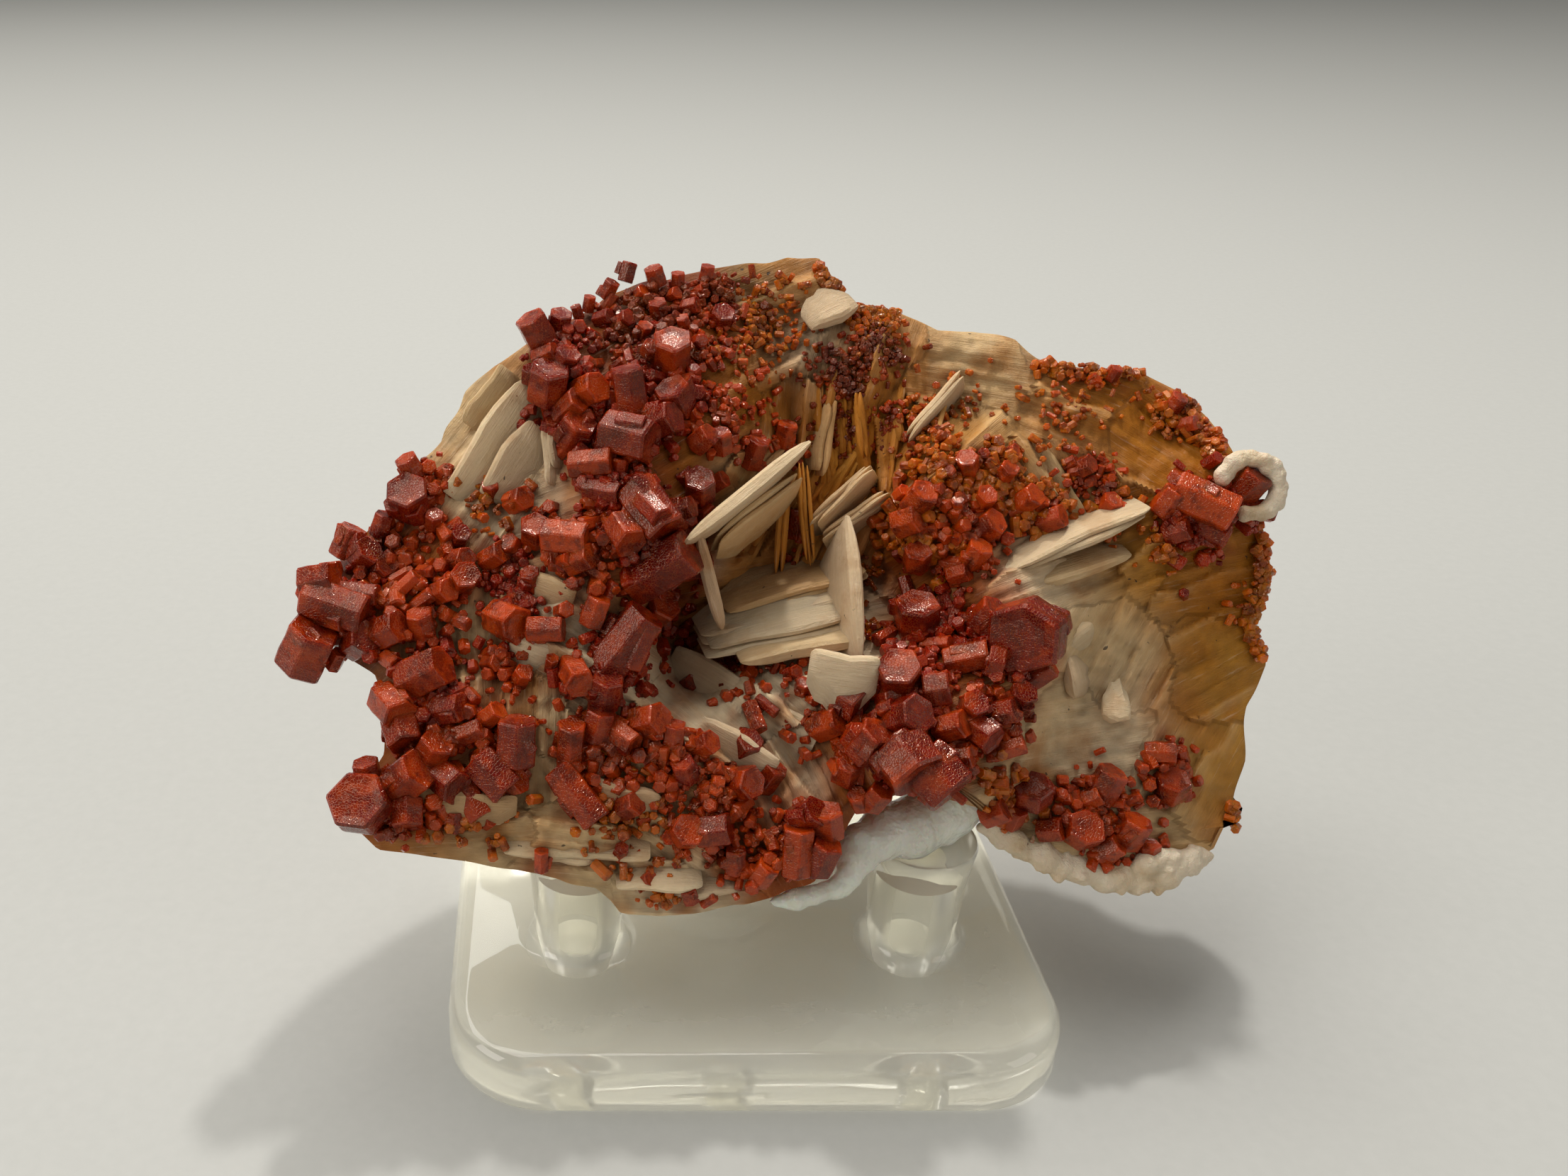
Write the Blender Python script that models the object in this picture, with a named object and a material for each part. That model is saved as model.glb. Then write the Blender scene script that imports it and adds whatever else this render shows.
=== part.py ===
"""Vanadinite on barite matrix, glued and resting on a clear plastic peg stand.

Lengths are in millimetres and are turned into metres when a mesh is made. +Z is up, +X is to the right and
-Y is the side that is looked at. The origin is the centre of the stand's underside.

The specimen's face is laid out as it is seen from one viewpoint: a place on it is (across, up, out), where
across and up are read on a plane that faces the viewer, and out is the distance that the place stands nearer
to the viewer than that plane.
"""

import math

import bmesh
import bpy
import numpy as np
from mathutils import Matrix, Vector, geometry

MM = 0.001
GAP = 0.3  # air left between two solids that touch in the real specimen

# The viewpoint and the plane that the face is laid out on
EYE = np.array((-14.84, -89.1, 76.0))
EYE_PITCH = math.radians(26.6)
PLANE_DEPTH = 96.8
SIGHT_AXIS_LEFT = 16.35  # the sight axis meets the plane this far to the left of the face's zero
LOOK = np.array((0.0, math.cos(EYE_PITCH), -math.sin(EYE_PITCH)))
FACE_RIGHT = np.array((1.0, 0.0, 0.0))
FACE_UP = np.array((0.0, math.sin(EYE_PITCH), math.cos(EYE_PITCH)))
FACE_OUT = -LOOK

# The stand
PLATE_WIDTH = 44.4
PLATE_DEPTH = 38.0
PLATE_THICKNESS = 4.5
PLATE_CORNER_RADIUS = 7.2
PLATE_EDGE_RADIUS = 1.5
POST_SPACING = 25.3
FRONT_POSTS_Y = -5.8
REAR_POST_Y = 8.5
POST_TOP_Z = 14.0
POST_FOOT_RADIUS = 3.3
POST_TOP_RADIUS = 4.0
POST_FILLET = 1.4
POST_BORE_RADIUS = 1.7
POST_BORE_TOP_Z = 10.5
POST_SIDES = 16
BORE_SIDES = 12
POSTS = (
    ("left", -POST_SPACING / 2, FRONT_POSTS_Y),
    ("right", POST_SPACING / 2, FRONT_POSTS_Y),
    ("rear", 0.0, REAR_POST_Y),
)

# The matrix: its outline as seen from the viewpoint, anticlockwise from the right end
MATRIX_OUTLINE = (
    (34.0, 1.5), (33.4, 4.6), (32.8, 7.4), (31.0, 9.8), (29.2, 12.0), (27.4, 13.8), (25.0, 15.0),
    (21.5, 15.2), (17.8, 15.9), (16.0, 17.2), (13.2, 17.9), (10.7, 17.9), (8.2, 19.2), (4.8, 19.5),
    (3.9, 21.0), (2.4, 22.8), (0.2, 23.1), (-2.6, 22.5), (-6.0, 22.0), (-9.4, 21.3), (-12.4, 20.3),
    (-15.0, 18.6), (-17.8, 17.0), (-20.2, 15.5), (-22.2, 13.6), (-23.8, 10.2), (-25.6, 8.6),
    (-27.4, 5.8), (-29.6, 3.0), (-31.6, 0.4), (-32.4, -2.6), (-30.6, -4.6), (-28.4, -6.0),
    (-27.6, -8.6), (-28.0, -11.6), (-29.6, -14.0), (-29.8, -16.6), (-28.2, -18.2), (-25.0, -18.8),
    (-21.0, -19.3), (-17.2, -19.9), (-13.2, -21.0), (-11.4, -22.5), (-7.6, -22.9), (-4.0, -22.3),
    (-0.6, -21.3), (2.2, -20.3), (3.8, -18.0), (5.2, -15.4), (7.8, -14.2), (11.0, -14.6),
    (13.6, -15.4), (15.9, -17.3), (19.0, -19.4), (23.2, -20.2), (26.4, -20.4), (28.6, -18.9),
    (31.6, -17.2), (31.4, -14.8), (32.0, -12.0), (32.3, -8.2), (33.6, -5.2), (32.8, -2.6),
)
MATRIX_CENTRE = (-1.0, -2.0)
# How far apart the mesh's points are on the face and on the back
FACE_SPACING = 4.3
BACK_SPACING = 6.0
# How far out the face stands: (across, up, out)
FACE_RELIEF = (
    (-33, -3, 0.0), (-27, 7, -2.5), (-21, 13, -4.0), (-19, 8, -3.2), (-12, 21, -6.0), (-5, 22, -7.0),
    (2, 22, -8.0), (10, 18, -8.0), (18, 15, -7.5), (27, 13, -8.0), (33, 8, -6.0), (28, 5, -4.5),
    (33, 0, -7.0), (33, -6, -7.0), (31, -15, -6.0), (22, -5, -5.0), (22, -12, -4.0), (20, -17, -2.8),
    (26, -20, -4.0), (16, -3, 1.6), (9, -6, 2.2), (9, -12, 2.6), (14, -9, 1.2), (5, -16, 0.8),
    (0, -20, 1.4), (-8, -21, 1.8), (-8, -13, 2.2), (-16, -18, 2.8), (-27, -16, 3.2), (-20, -11, 2.4),
    (-26, -9, 1.8), (-22, -3, 0.4), (-13, -4, 1.8), (-9, 2, 2.2), (-14, 4, 0.8), (-20, 3, -1.2),
    (-10, 9, -0.2), (-14, 14, -2.0), (-8, 15, -3.2), (-4, 8, -1.4), (-1, 3, -11.0), (-6, -2, -10.5),
    (3, 1, -9.0), (1, -2, -6.5), (4, 7, -8.0), (0, 6, -9.0), (3, 11, -7.5), (5, 15, -6.0),
    (6.5, -3, -6.5), (12, -2, -4.5), (4, -6, -0.8), (0, -9, -1.0), (10, 5, -3.0), (17, 7, -4.5),
    (22, 8, -6.0), (20, 2, -5.4),
)
RELIEF_REACH = 2.6
RIM_THICKNESS = 3.0
BACK_DEPTH = 20.0
UNDERSIDE_Z = POST_TOP_Z + GAP
UNDERSIDE_OVER_POSTS = (-60.0, 17.5, -10.5)  # from x, to x, and from y
UNDERSIDE_AT_RIGHT = (17.5, 60.0, -5.5)

# Blades of barite: the two ends of the outer edge as (across, up, out), thickness, how far the blade runs
# back into the rock, and how far it leans over from edge-on (positive shows its face above the edge)
BLADES = (
    ((-6.9, 3.2, 2.2), (2.4, 10.7, -2.5), 1.5, 7.0, -22),  # the long pale spear over the hollow
    ((-5.3, 3.2, 1.2), (-4.4, -3.0, -2.8), 1.2, 8.0, 14),
    ((-4.0, -1.9, -4.6), (5.0, 0.0, -5.6), 1.0, 7.0, 48),
    ((-5.2, -3.4, -3.6), (5.0, -1.4, -4.4), 1.2, 7.0, 46),
    ((-4.6, -4.8, -2.6), (5.0, -2.8, -3.4), 1.1, 7.0, 44),
    ((4.9, 5.0, -3.0), (5.5, -4.6, -0.6), 1.1, 9.0, -8),  # the upright blade that closes the hollow
    ((0.2, -4.2, 0.2), (7.2, -5.4, 1.2), 1.8, 5.0, -58),
    ((-10.2, -5.4, 2.6), (-3.0, -10.8, 2.2), 1.6, 6.0, 22),
    ((-6.4, -6.6, 1.6), (3.4, -12.6, 1.8), 1.8, 6.0, 36),
    ((1.6, 4.3, -5.4), (6.2, 8.8, -5.0), 1.0, 6.0, -26),
    ((15.2, 0.6, -2.4), (26.2, 5.4, -3.2), 1.2, 7.0, 22),  # the long blade that ends at the far crystals
    ((14.4, -0.8, -3.2), (25.0, 2.4, -4.2), 1.1, 6.0, 26),
    ((24.6, -0.8, -5.2), (33.2, 1.8, -6.0), 1.2, 6.0, 40),
    ((16.6, 12.2, -5.6), (22.2, 4.0, -4.2), 1.4, 6.0, -52),
    ((12.2, 16.6, -7.0), (20.6, 14.2, -6.4), 1.4, 6.0, 60),
    ((19.6, 14.2, -6.6), (29.0, 10.4, -6.2), 1.4, 6.0, 62),
    ((1.6, 17.9, -5.4), (6.0, 20.0, -6.4), 1.4, 6.0, 50),
    ((-24.4, 7.4, -2.0), (-18.2, 14.6, -3.2), 1.6, 7.0, 50),
    ((-22.8, 6.4, -1.2), (-16.8, 13.4, -2.6), 1.6, 7.0, 46),
    ((-24.2, 9.8, -3.2), (-18.4, 16.8, -4.4), 1.5, 6.0, 56),
    ((-20.4, 4.6, -0.4), (-13.8, 6.6, 0.4), 1.4, 5.0, 36),
    ((-28.8, -17.6, 3.6), (-12.6, -17.0, 3.6), 1.5, 6.0, 44),
    ((-13.6, -17.6, 3.4), (-2.4, -18.2, 2.8), 1.5, 6.0, 42),
    ((-12.6, -21.4, 2.8), (-1.6, -21.4, 2.4), 1.5, 6.0, 28),
    ((19.0, -5.0, -3.0), (22.4, -1.8, -3.4), 1.4, 5.0, -34),
    ((20.6, -9.2, -2.4), (25.8, -9.8, -3.2), 2.2, 4.0, 62),
    ((26.4, -8.4, -4.6), (33.4, -5.2, -5.8), 1.5, 5.0, 54),
    ((15.4, -15.2, -2.2), (30.4, -16.8, -4.4), 1.6, 5.0, 60),
)

# Lumpy pale crust: (across, up, out, radius) along the lower right edge, then a ring at the far right
EDGE_CRUST = (
    (15.2, -17.6, -3.2, 1.3), (17.0, -18.9, -3.4, 1.4), (19.2, -19.9, -3.6, 1.5), (21.4, -20.4, -3.8, 1.4),
    (23.6, -20.8, -4.0, 1.6), (25.8, -21.0, -4.2, 1.3), (27.4, -20.0, -4.4, 1.5), (28.8, -18.9, -4.6, 1.2),
)
RING_CRUST_CENTRE = (32.5, 7.2, -5.7)
RING_CRUST_RADIUS = 1.9
RING_CRUST_THICKNESS = 0.95
RING_CRUST_FROM = -100  # degrees round the ring, from across
RING_CRUST_TO = 165
RING_CRUST_STEPS = 7

# Vanadinite. Each cluster: the low druse that its crystals stand on, as (across, up, half length,
# half width, turn), and its crystals as (across, up, width, length, lean, toward), where lean turns the
# crystal's long axis in the face and toward tips it to the viewer, in degrees.
DRUSE_HEIGHT = 1.3
DRUSE_ROOT = 1.4
CLUSTERS = {
    "vanadinite_left_tip": (
        (
            (-31.2, -1.0, 3.6, 2.2, 60), (-28.4, -1.8, 4.0, 3.0, 20), (-29.0, 2.6, 3.0, 2.0, 60),
            (-26.2, 6.0, 2.6, 1.6, 65),
        ),
        (
            (-31.2, -1.2, 3.2, 4.8, -18, 12), (-33.2, -4.2, 3.8, 3.6, 62, 28), (-29.6, -3.7, 2.5, 2.4, 30, 52),
            (-32.4, 0.5, 2.4, 2.6, 10, 20), (-29.4, 2.1, 2.3, 2.6, 40, 40), (-30.4, 3.2, 2.2, 2.4, 64, 10),
            (-27.6, -2.9, 2.5, 2.4, 22, 34),
            (-26.2, 6.3, 3.2, 2.4, 96, 58),
        ),
    ),
    "vanadinite_lower_left": (
        ((-25.2, -6.6, 3.0, 2.6, 0), (-25.6, -9.6, 3.0, 2.4, 0), (-22.6, -8.6, 3.4, 2.2, 0),
         (-28.0, -14.2, 3.4, 2.6, 0), (-24.4, -14.0, 3.4, 2.2, 0), (-20.4, -12.6, 2.6, 2.2, 60)),
        (
            (-25.1, -5.9, 3.1, 3.6, 25, 26), (-27.3, -8.2, 2.7, 2.8, -42, 44), (-26.6, -10.0, 2.8, 2.2, -70, 30),
            (-23.4, -8.4, 2.2, 2.4, 10, 30), (-24.4, -11.4, 2.6, 2.6, 60, 36),
            (-29.5, -15.0, 4.2, 2.4, 112, 66), (-26.2, -13.2, 3.1, 3.0, 40, 34),
            (-26.2, -15.7, 2.4, 2.0, -88, 24), (-23.6, -13.4, 2.6, 2.8, -30, 40),
            (-18.6, -10.7, 2.9, 3.3, 88, 14), (-20.2, -13.0, 2.9, 3.2, -45, 14),
        ),
    ),
    "vanadinite_middle_left": (
        ((-20.4, -1.4, 3.2, 2.6, 10), (-16.0, 2.2, 3.4, 2.4, 30), (-19.6, 1.8, 3.0, 1.8, 0)),
        (
            (-17.3, 3.9, 2.3, 2.0, 90, 56), (-15.1, 3.6, 2.5, 3.4, -6, 22),
            (-19.4, -2.3, 2.8, 2.8, -20, 50), (-22.3, 0.6, 2.2, 2.0, 60, 60),
        ),
    ),
    "vanadinite_upper_left": (
        (
            (-15.0, 14.2, 3.4, 2.8, 0), (-12.4, 10.8, 3.8, 2.4, 0), (-10.2, 13.4, 2.8, 2.8, 0),
            (-8.4, 16.0, 2.8, 2.0, 0),
        ),
        (
            (-17.2, 17.9, 2.5, 2.5, 122, 30), (-16.4, 14.3, 3.1, 2.8, 82, 42),
            (-13.6, 13.7, 2.4, 2.4, 20, 50), (-14.9, 12.6, 2.2, 2.4, 40, 40),
            (-14.5, 10.9, 2.7, 2.4, 60, 46), (-10.8, 10.6, 3.4, 3.8, -18, 26), (-10.7, 13.2, 2.5, 4.6, 100, 22),
            (-7.8, 16.4, 3.0, 2.8, 92, 48), (-7.6, 13.2, 2.8, 2.4, 120, 40),
            (-8.6, 11.6, 2.6, 2.6, 20, 40),
        ),
    ),
    "vanadinite_crest": (
        ((-10.0, 20.2, 3.8, 1.8, 8), (-6.0, 20.8, 3.0, 1.8, 0)),
        (),
    ),
    "vanadinite_centre_left": (
        ((-9.2, 4.0, 2.6, 3.6, 0), (-9.6, -1.0, 2.4, 3.0, 0), (-12.0, -4.8, 2.6, 1.9, 50)),
        (
            (-9.3, 5.5, 3.3, 4.2, -56, 20), (-11.1, 3.8, 2.6, 2.4, -60, 40), (-8.6, 1.4, 3.9, 5.2, 30, 26),
            (-8.9, -1.5, 2.7, 2.6, 40, 48), (-11.3, -4.0, 3.2, 5.8, 52, 14), (-14.6, -6.1, 2.3, 2.6, -58, 56),
            (-6.4, 1.6, 2.4, 2.6, 10, 30),
        ),
    ),
    "vanadinite_spear_top": (
        ((-5.4, 8.4, 2.6, 1.6, 30), (-2.4, 9.6, 2.4, 1.4, 20)),
        (
            (-5.9, 7.0, 2.5, 2.3, 96, 54),
        ),
    ),
    "vanadinite_lower_middle": (
        (
            (-14.4, -11.0, 2.5, 1.7, 80), (-10.4, -9.8, 3.4, 1.8, -10), (-6.4, -11.6, 3.4, 1.8, -20),
            (-2.6, -12.6, 2.4, 1.8, -30),
        ),
        (
            (-14.9, -11.0, 2.1, 3.5, 86, 28), (-14.4, -14.4, 2.5, 4.6, -52, 12), (-13.0, -9.5, 2.2, 2.3, 76, 20),
            (-9.4, -9.2, 2.4, 2.4, 20, 46),
            (-2.9, -13.6, 2.5, 2.4, 16, 56), (-2.7, -11.0, 2.1, 2.0, 60, 50),
        ),
    ),
    "vanadinite_bottom": (
        (
            (1.6, -17.6, 2.4, 2.6, 0), (-1.2, -18.6, 2.2, 2.2, 0), (-5.4, -17.2, 2.2, 1.8, 0),
            (-3.4, -18.0, 2.0, 1.6, 0),
        ),
        (
            (0.9, -18.5, 2.3, 3.6, 88, 14), (2.6, -18.9, 2.3, 2.6, 70, 30), (1.5, -15.9, 2.4, 2.4, 40, 40),
            (3.0, -16.4, 2.4, 2.4, 100, 30), (-6.8, -17.0, 2.5, 1.8, 60, 66), (-4.9, -16.8, 2.4, 2.4, 10, 20),
        ),
    ),
    "vanadinite_right_middle": (
        ((9.4, -2.5, 2.6, 2.5, 0), (9.2, -7.0, 3.0, 3.2, 0), (14.6, -4.6, 3.6, 3.4, 0), (13.6, -9.6, 3.4, 2.6, 20),
         (9.0, -12.0, 3.6, 2.6, -30), (4.6, -9.8, 2.4, 3.4, 0), (5.8, -13.8, 2.0, 2.0, 0)),
        (
            (17.0, -3.2, 5.2, 2.6, 205, 48), (12.8, -4.8, 2.3, 3.2, 15, 24), (14.7, -5.2, 2.5, 1.2, -15, 12),
            (9.3, -2.0, 3.2, 2.9, 100, 40), (14.2, -2.0, 2.2, 2.2, 60, 40), (8.1, -6.2, 3.3, 3.2, 110, 50),
            (10.7, -7.0, 2.5, 1.8, 10, 20), (8.6, -8.9, 2.9, 2.6, 32, 60),
            (13.7, -10.0, 2.3, 2.4, -40, 40),
            (8.7, -12.1, 4.4, 2.8, -58, 34), (10.7, -13.2, 3.9, 3.0, -50, 22),
            (6.0, -10.8, 2.7, 2.7, 60, 36), (3.1, -9.5, 2.4, 2.4, 30, 44), (4.3, -7.9, 2.7, 2.6, -30, 36),
            (11.6, -9.6, 2.2, 2.2, 20, 40),
        ),
    ),
    "vanadinite_upper_right": (
        (
            (9.2, 4.2, 2.4, 3.2, 0), (13.2, 3.0, 2.8, 2.2, 30), (17.0, 6.0, 3.0, 1.8, -20),
            (13.6, 7.6, 2.8, 1.8, -20),
        ),
        (
            (9.4, 6.2, 2.6, 2.4, 60, 50), (8.7, 4.6, 2.6, 2.4, 20, 50), (9.3, 2.1, 2.3, 2.2, 100, 50),
            (14.2, 4.3, 2.4, 2.2, 40, 50), (13.4, 2.3, 2.2, 2.2, 70, 40),
            (17.0, 6.2, 2.2, 2.0, 40, 50), (18.6, 4.8, 2.2, 2.2, 20, 40),
        ),
    ),
    "vanadinite_far_right": (
        ((28.6, 5.6, 3.4, 1.8, -20), (31.8, 6.6, 1.8, 1.6, 0)),
        (
            (29.2, 6.0, 3.3, 4.6, -28, 16), (32.3, 7.1, 2.5, 2.6, 60, 40),
        ),
    ),
    "vanadinite_lower_right": (
        ((16.4, -15.4, 2.8, 1.4, -10), (20.6, -17.2, 2.8, 1.6, -10), (24.2, -17.4, 2.2, 1.4, 0)),
        (
            (17.2, -14.2, 2.9, 1.8, 100, 44),
            (20.8, -16.9, 2.8, 1.8, 80, 62), (24.2, -17.0, 2.3, 2.4, 70, 30),
        ),
    ),
}

# Set adhesive: lumps as (across, up, out, radius) between the rock and the front posts
GLUE_LUMPS = {
    "glue_right": (
        (12.4, -13.8, -3.4, 2.3), (11.2, -15.8, -4.2, 2.2), (9.2, -16.4, -3.8, 2.3), (7.2, -16.9, -3.0, 2.0),
        (5.6, -17.8, -1.6, 1.5), (4.2, -20.6, -0.8, 1.2), (4.8, -19.2, -1.2, 1.3), (9.6, -17.6, -4.6, 2.2),
    ),
}

# Colour, roughness and how much light passes through
MATERIALS = {
    "barite": ((0.72, 0.62, 0.46), 0.55, 0.0),
    "vanadinite": ((0.42, 0.045, 0.015), 0.22, 0.25),
    "adhesive": ((0.80, 0.80, 0.72), 0.35, 0.6),
    "clear_plastic": ((0.80, 0.86, 0.74), 0.06, 0.95),
}
ROUND_KINDS = ("adhesive", "clear_plastic")  # shaded smooth, apart from edges sharper than this
SHARP_ABOVE = 40


def on_face(place):
    """The point in the object's own frame of a place on the face."""
    across, up, out = place
    depth = PLANE_DEPTH - out
    share = depth / PLANE_DEPTH
    return EYE + LOOK * depth + FACE_RIGHT * (across + SIGHT_AXIS_LEFT) * share + FACE_UP * up * share


def relief(across, up):
    """How far out the rock's face stands at a place, blended smoothly from FACE_RELIEF."""
    total, weight = 0.0, 0.0
    for knot_across, knot_up, knot_out in FACE_RELIEF:
        away = (across - knot_across) ** 2 + (up - knot_up) ** 2
        share = math.exp(-away / (2 * RELIEF_REACH**2)) + 1e-4 / (1 + away)
        total += share * knot_out
        weight += share
    return total / weight


def new_object(name, points, faces):
    """A mesh object from points in millimetres, with its faces pointing out."""
    mesh = bpy.data.meshes.new(name)
    mesh.from_pydata([tuple(float(c) for c in p) for p in points], [], faces)
    bm = bmesh.new()
    bm.from_mesh(mesh)
    bmesh.ops.recalc_face_normals(bm, faces=bm.faces)
    bm.to_mesh(mesh)
    bm.free()
    obj = bpy.data.objects.new(name, mesh)
    bpy.context.scene.collection.objects.link(obj)
    return obj


def merged(base, others, operation):
    """The Boolean of base with every other object. The result stays in base, and the others are removed."""
    tools = bpy.data.collections.new("tools")
    for other in others:
        tools.objects.link(other)
    cut = base.modifiers.new("join", "BOOLEAN")
    cut.operation = operation
    cut.operand_type = "COLLECTION"
    cut.collection = tools
    cut.solver = "MANIFOLD"  # the exact solver loses whole crystals where many meet at once
    made = bpy.data.meshes.new_from_object(base.evaluated_get(bpy.context.evaluated_depsgraph_get()))
    base.modifiers.clear()
    base.data = made
    for other in others:
        bpy.data.objects.remove(other)
    bpy.data.collections.remove(tools)
    return base


def copy_of(obj):
    """A second object with its own copy of the mesh, to cut with."""
    twin = obj.copy()
    twin.data = obj.data.copy()
    bpy.context.scene.collection.objects.link(twin)
    return twin


def keep_largest_piece(obj):
    """Removes the chips that a cut left loose, and any pocket that is closed in."""
    bm = bmesh.new()
    bm.from_mesh(obj.data)
    left, pieces = set(bm.faces), []
    while left:
        reached, fresh = [], [left.pop()]
        while fresh:
            face = fresh.pop()
            reached.append(face)
            for edge in face.edges:
                for other in edge.link_faces if len(edge.link_faces) == 2 else ():
                    if other in left:
                        left.discard(other)
                        fresh.append(other)
        pieces.append(reached)
    largest = max(pieces, key=len)
    chips = [face for piece in pieces if piece is not largest for face in piece]
    bmesh.ops.delete(bm, geom=chips, context="FACES")
    bm.to_mesh(obj.data)
    bm.free()


def box(name, low, high):
    """A plain box between two corners, in millimetres."""
    points = [(x, y, z) for x in (low[0], high[0]) for y in (low[1], high[1]) for z in (low[2], high[2])]
    faces = [(0, 1, 3, 2), (4, 6, 7, 5), (0, 4, 5, 1), (2, 3, 7, 6), (0, 2, 6, 4), (1, 5, 7, 3)]
    return new_object(name, points, faces)


def outline_share(across, up):
    """How far a place lies on the way from the outline's centre, 0, to the outline, 1."""
    away = np.array((across, up)) - MATRIX_CENTRE
    share = 0.0
    corners = np.array(MATRIX_OUTLINE) - MATRIX_CENTRE
    for first, second in zip(corners, np.roll(corners, -1, axis=0)):
        edge = second - first
        turn = away[0] * edge[1] - away[1] * edge[0]
        reach = first[0] * edge[1] - first[1] * edge[0]
        if abs(turn) > 1e-9 and turn * reach > 0:
            place = (away * reach / turn - first) @ edge / (edge @ edge)
            if -1e-6 <= place <= 1 + 1e-6:
                share = max(share, turn / reach)
    return share


def outline_mesh(spacing):
    """The outline filled with evenly spaced points: its places and triangles, the outline's places first."""
    places = [Vector(corner) for corner in MATRIX_OUTLINE]
    count = len(places)
    edges = [(i, (i + 1) % count) for i in range(count)]
    rows = int(60 / spacing)
    for row in range(-rows, rows + 1):
        for column in range(-rows, rows + 1):
            across = (column + 0.5 * (row % 2)) * spacing
            up = row * spacing * 0.866
            if outline_share(across, up) * 30 < 30 - 0.5 * spacing:
                places.append(Vector((across, up)))
    made = geometry.delaunay_2d_cdt(places, edges, [], 1, 1e-4)
    return [tuple(place) for place in made[0]], [tuple(face) for face in made[2]]


def core(name, raised=0.0):
    """The rock without its blades. raised lifts its face and outline, for cutting what lies on it."""
    count = len(MATRIX_OUTLINE)
    corners = np.array(MATRIX_OUTLINE)
    away = corners - MATRIX_CENTRE
    shifted = corners + away / np.linalg.norm(away, axis=1)[:, None] * raised
    front_places, front_faces = outline_mesh(FACE_SPACING)
    back_places, back_faces = outline_mesh(BACK_SPACING)
    points = []
    for number, (across, up) in enumerate(front_places):
        out = relief(across, up) + raised
        points.append(on_face((*shifted[number], out) if number < count else (across, up, out)))
    start = len(points)
    for number, (across, up) in enumerate(back_places):
        share = min(1.0, outline_share(across, up))
        out = relief(across, up) * share - RIM_THICKNESS - BACK_DEPTH * (1 - share**2.2) ** 0.8 - raised
        points.append(on_face((*shifted[number], out) if number < count else (across, up, out)))
    faces = list(front_faces)
    faces += [tuple(start + corner for corner in reversed(face)) for face in back_faces]
    for i in range(count):
        j = (i + 1) % count
        faces += [(i, start + j, j), (i, start + i, start + j)]
    made = new_object(name, points, faces)
    below = []
    for from_x, to_x, from_y in (UNDERSIDE_OVER_POSTS, UNDERSIDE_AT_RIGHT):
        below.append(box("below", (from_x, from_y, -30), (to_x, 60, UNDERSIDE_Z - raised)))
    return merged(made, below, "DIFFERENCE")


def blade(name, start, end, thickness, depth, lean):
    """A tabular crystal: a six-sided plate with an arched outer edge, thinner at its rim."""
    a, b = on_face(start), on_face(end)
    along = (b - a) / np.linalg.norm(b - a)
    across = np.cross(FACE_OUT, along)
    across /= np.linalg.norm(across)
    tip = math.radians(lean)
    inward = -FACE_OUT * math.cos(tip) + across * math.sin(tip)
    inward -= along * (inward @ along)
    inward /= np.linalg.norm(inward)
    normal = np.cross(along, inward)
    length = np.linalg.norm(b - a)
    middle = (a + b) / 2
    outline = (
        (-0.5, 0.08), (-0.26, -0.07), (0.26, -0.07), (0.5, 0.08), (0.42, 0.9), (-0.42, 0.9),
    )
    points, faces = [], []
    for side in (-1, 1):
        for place_along, place_in in outline:
            inset = 0.94 if side > 0 else 1.0
            in_plane = along * length * place_along * inset + inward * (depth * place_in)
            points.append(middle + in_plane + normal * (side * thickness / 2))
    count = len(outline)
    faces.append(tuple(range(count)))
    faces.append(tuple(range(2 * count - 1, count - 1, -1)))
    for i in range(count):
        j = (i + 1) % count
        faces.append((i, j, count + j, count + i))
    return new_object(name, points, faces)


def prism(name, across, up, width, length, lean, toward, margin=0.0):
    """A six-sided vanadinite crystal standing out of the druse, its ends flat."""
    centre = on_face((across, up, relief(across, up) + 0.28 * width))
    turn, tip = math.radians(lean), math.radians(toward)
    axis = (FACE_RIGHT * math.cos(turn) + FACE_UP * math.sin(turn)) * math.cos(tip) + FACE_OUT * math.sin(tip)
    side = np.cross(axis, FACE_OUT + 0.01 * FACE_UP)
    side /= np.linalg.norm(side)
    other = np.cross(axis, side)
    radius, half = width / 2 + margin, length / 2 + margin
    points = []
    for end in (-1, 1):
        for i in range(6):
            angle = math.radians(60 * i + 30)
            away = (side * math.cos(angle) + other * math.sin(angle)) * radius
            points.append(centre + axis * half * end + away)
    faces = [tuple(range(6)), tuple(range(11, 5, -1))]
    faces += [(i, (i + 1) % 6, 6 + (i + 1) % 6, 6 + i) for i in range(6)]
    return new_object(name, points, faces)


def lump(name, centre, along, across, out, radii, rings=3, sides=6):
    """A low rounded lump: an ellipsoid on three axes."""
    points = [centre + out * radii[2]]
    for ring in range(1, rings):
        polar = math.pi * ring / rings
        for i in range(sides):
            angle = 2 * math.pi * (i + 0.5 * (ring % 2)) / sides
            points.append(
                centre
                + along * radii[0] * math.sin(polar) * math.cos(angle)
                + across * radii[1] * math.sin(polar) * math.sin(angle)
                + out * radii[2] * math.cos(polar)
            )
    points.append(centre - out * radii[2])
    faces = [(0, 1 + i, 1 + (i + 1) % sides) for i in range(sides)]
    for ring in range(rings - 2):
        for i in range(sides):
            j = (i + 1) % sides
            low, high = 1 + ring * sides, 1 + (ring + 1) * sides
            faces.append((low + i, high + i, high + j, low + j))
    last = 1 + (rings - 2) * sides
    faces += [(len(points) - 1, last + (i + 1) % sides, last + i) for i in range(sides)]
    return new_object(name, points, faces)


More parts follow.
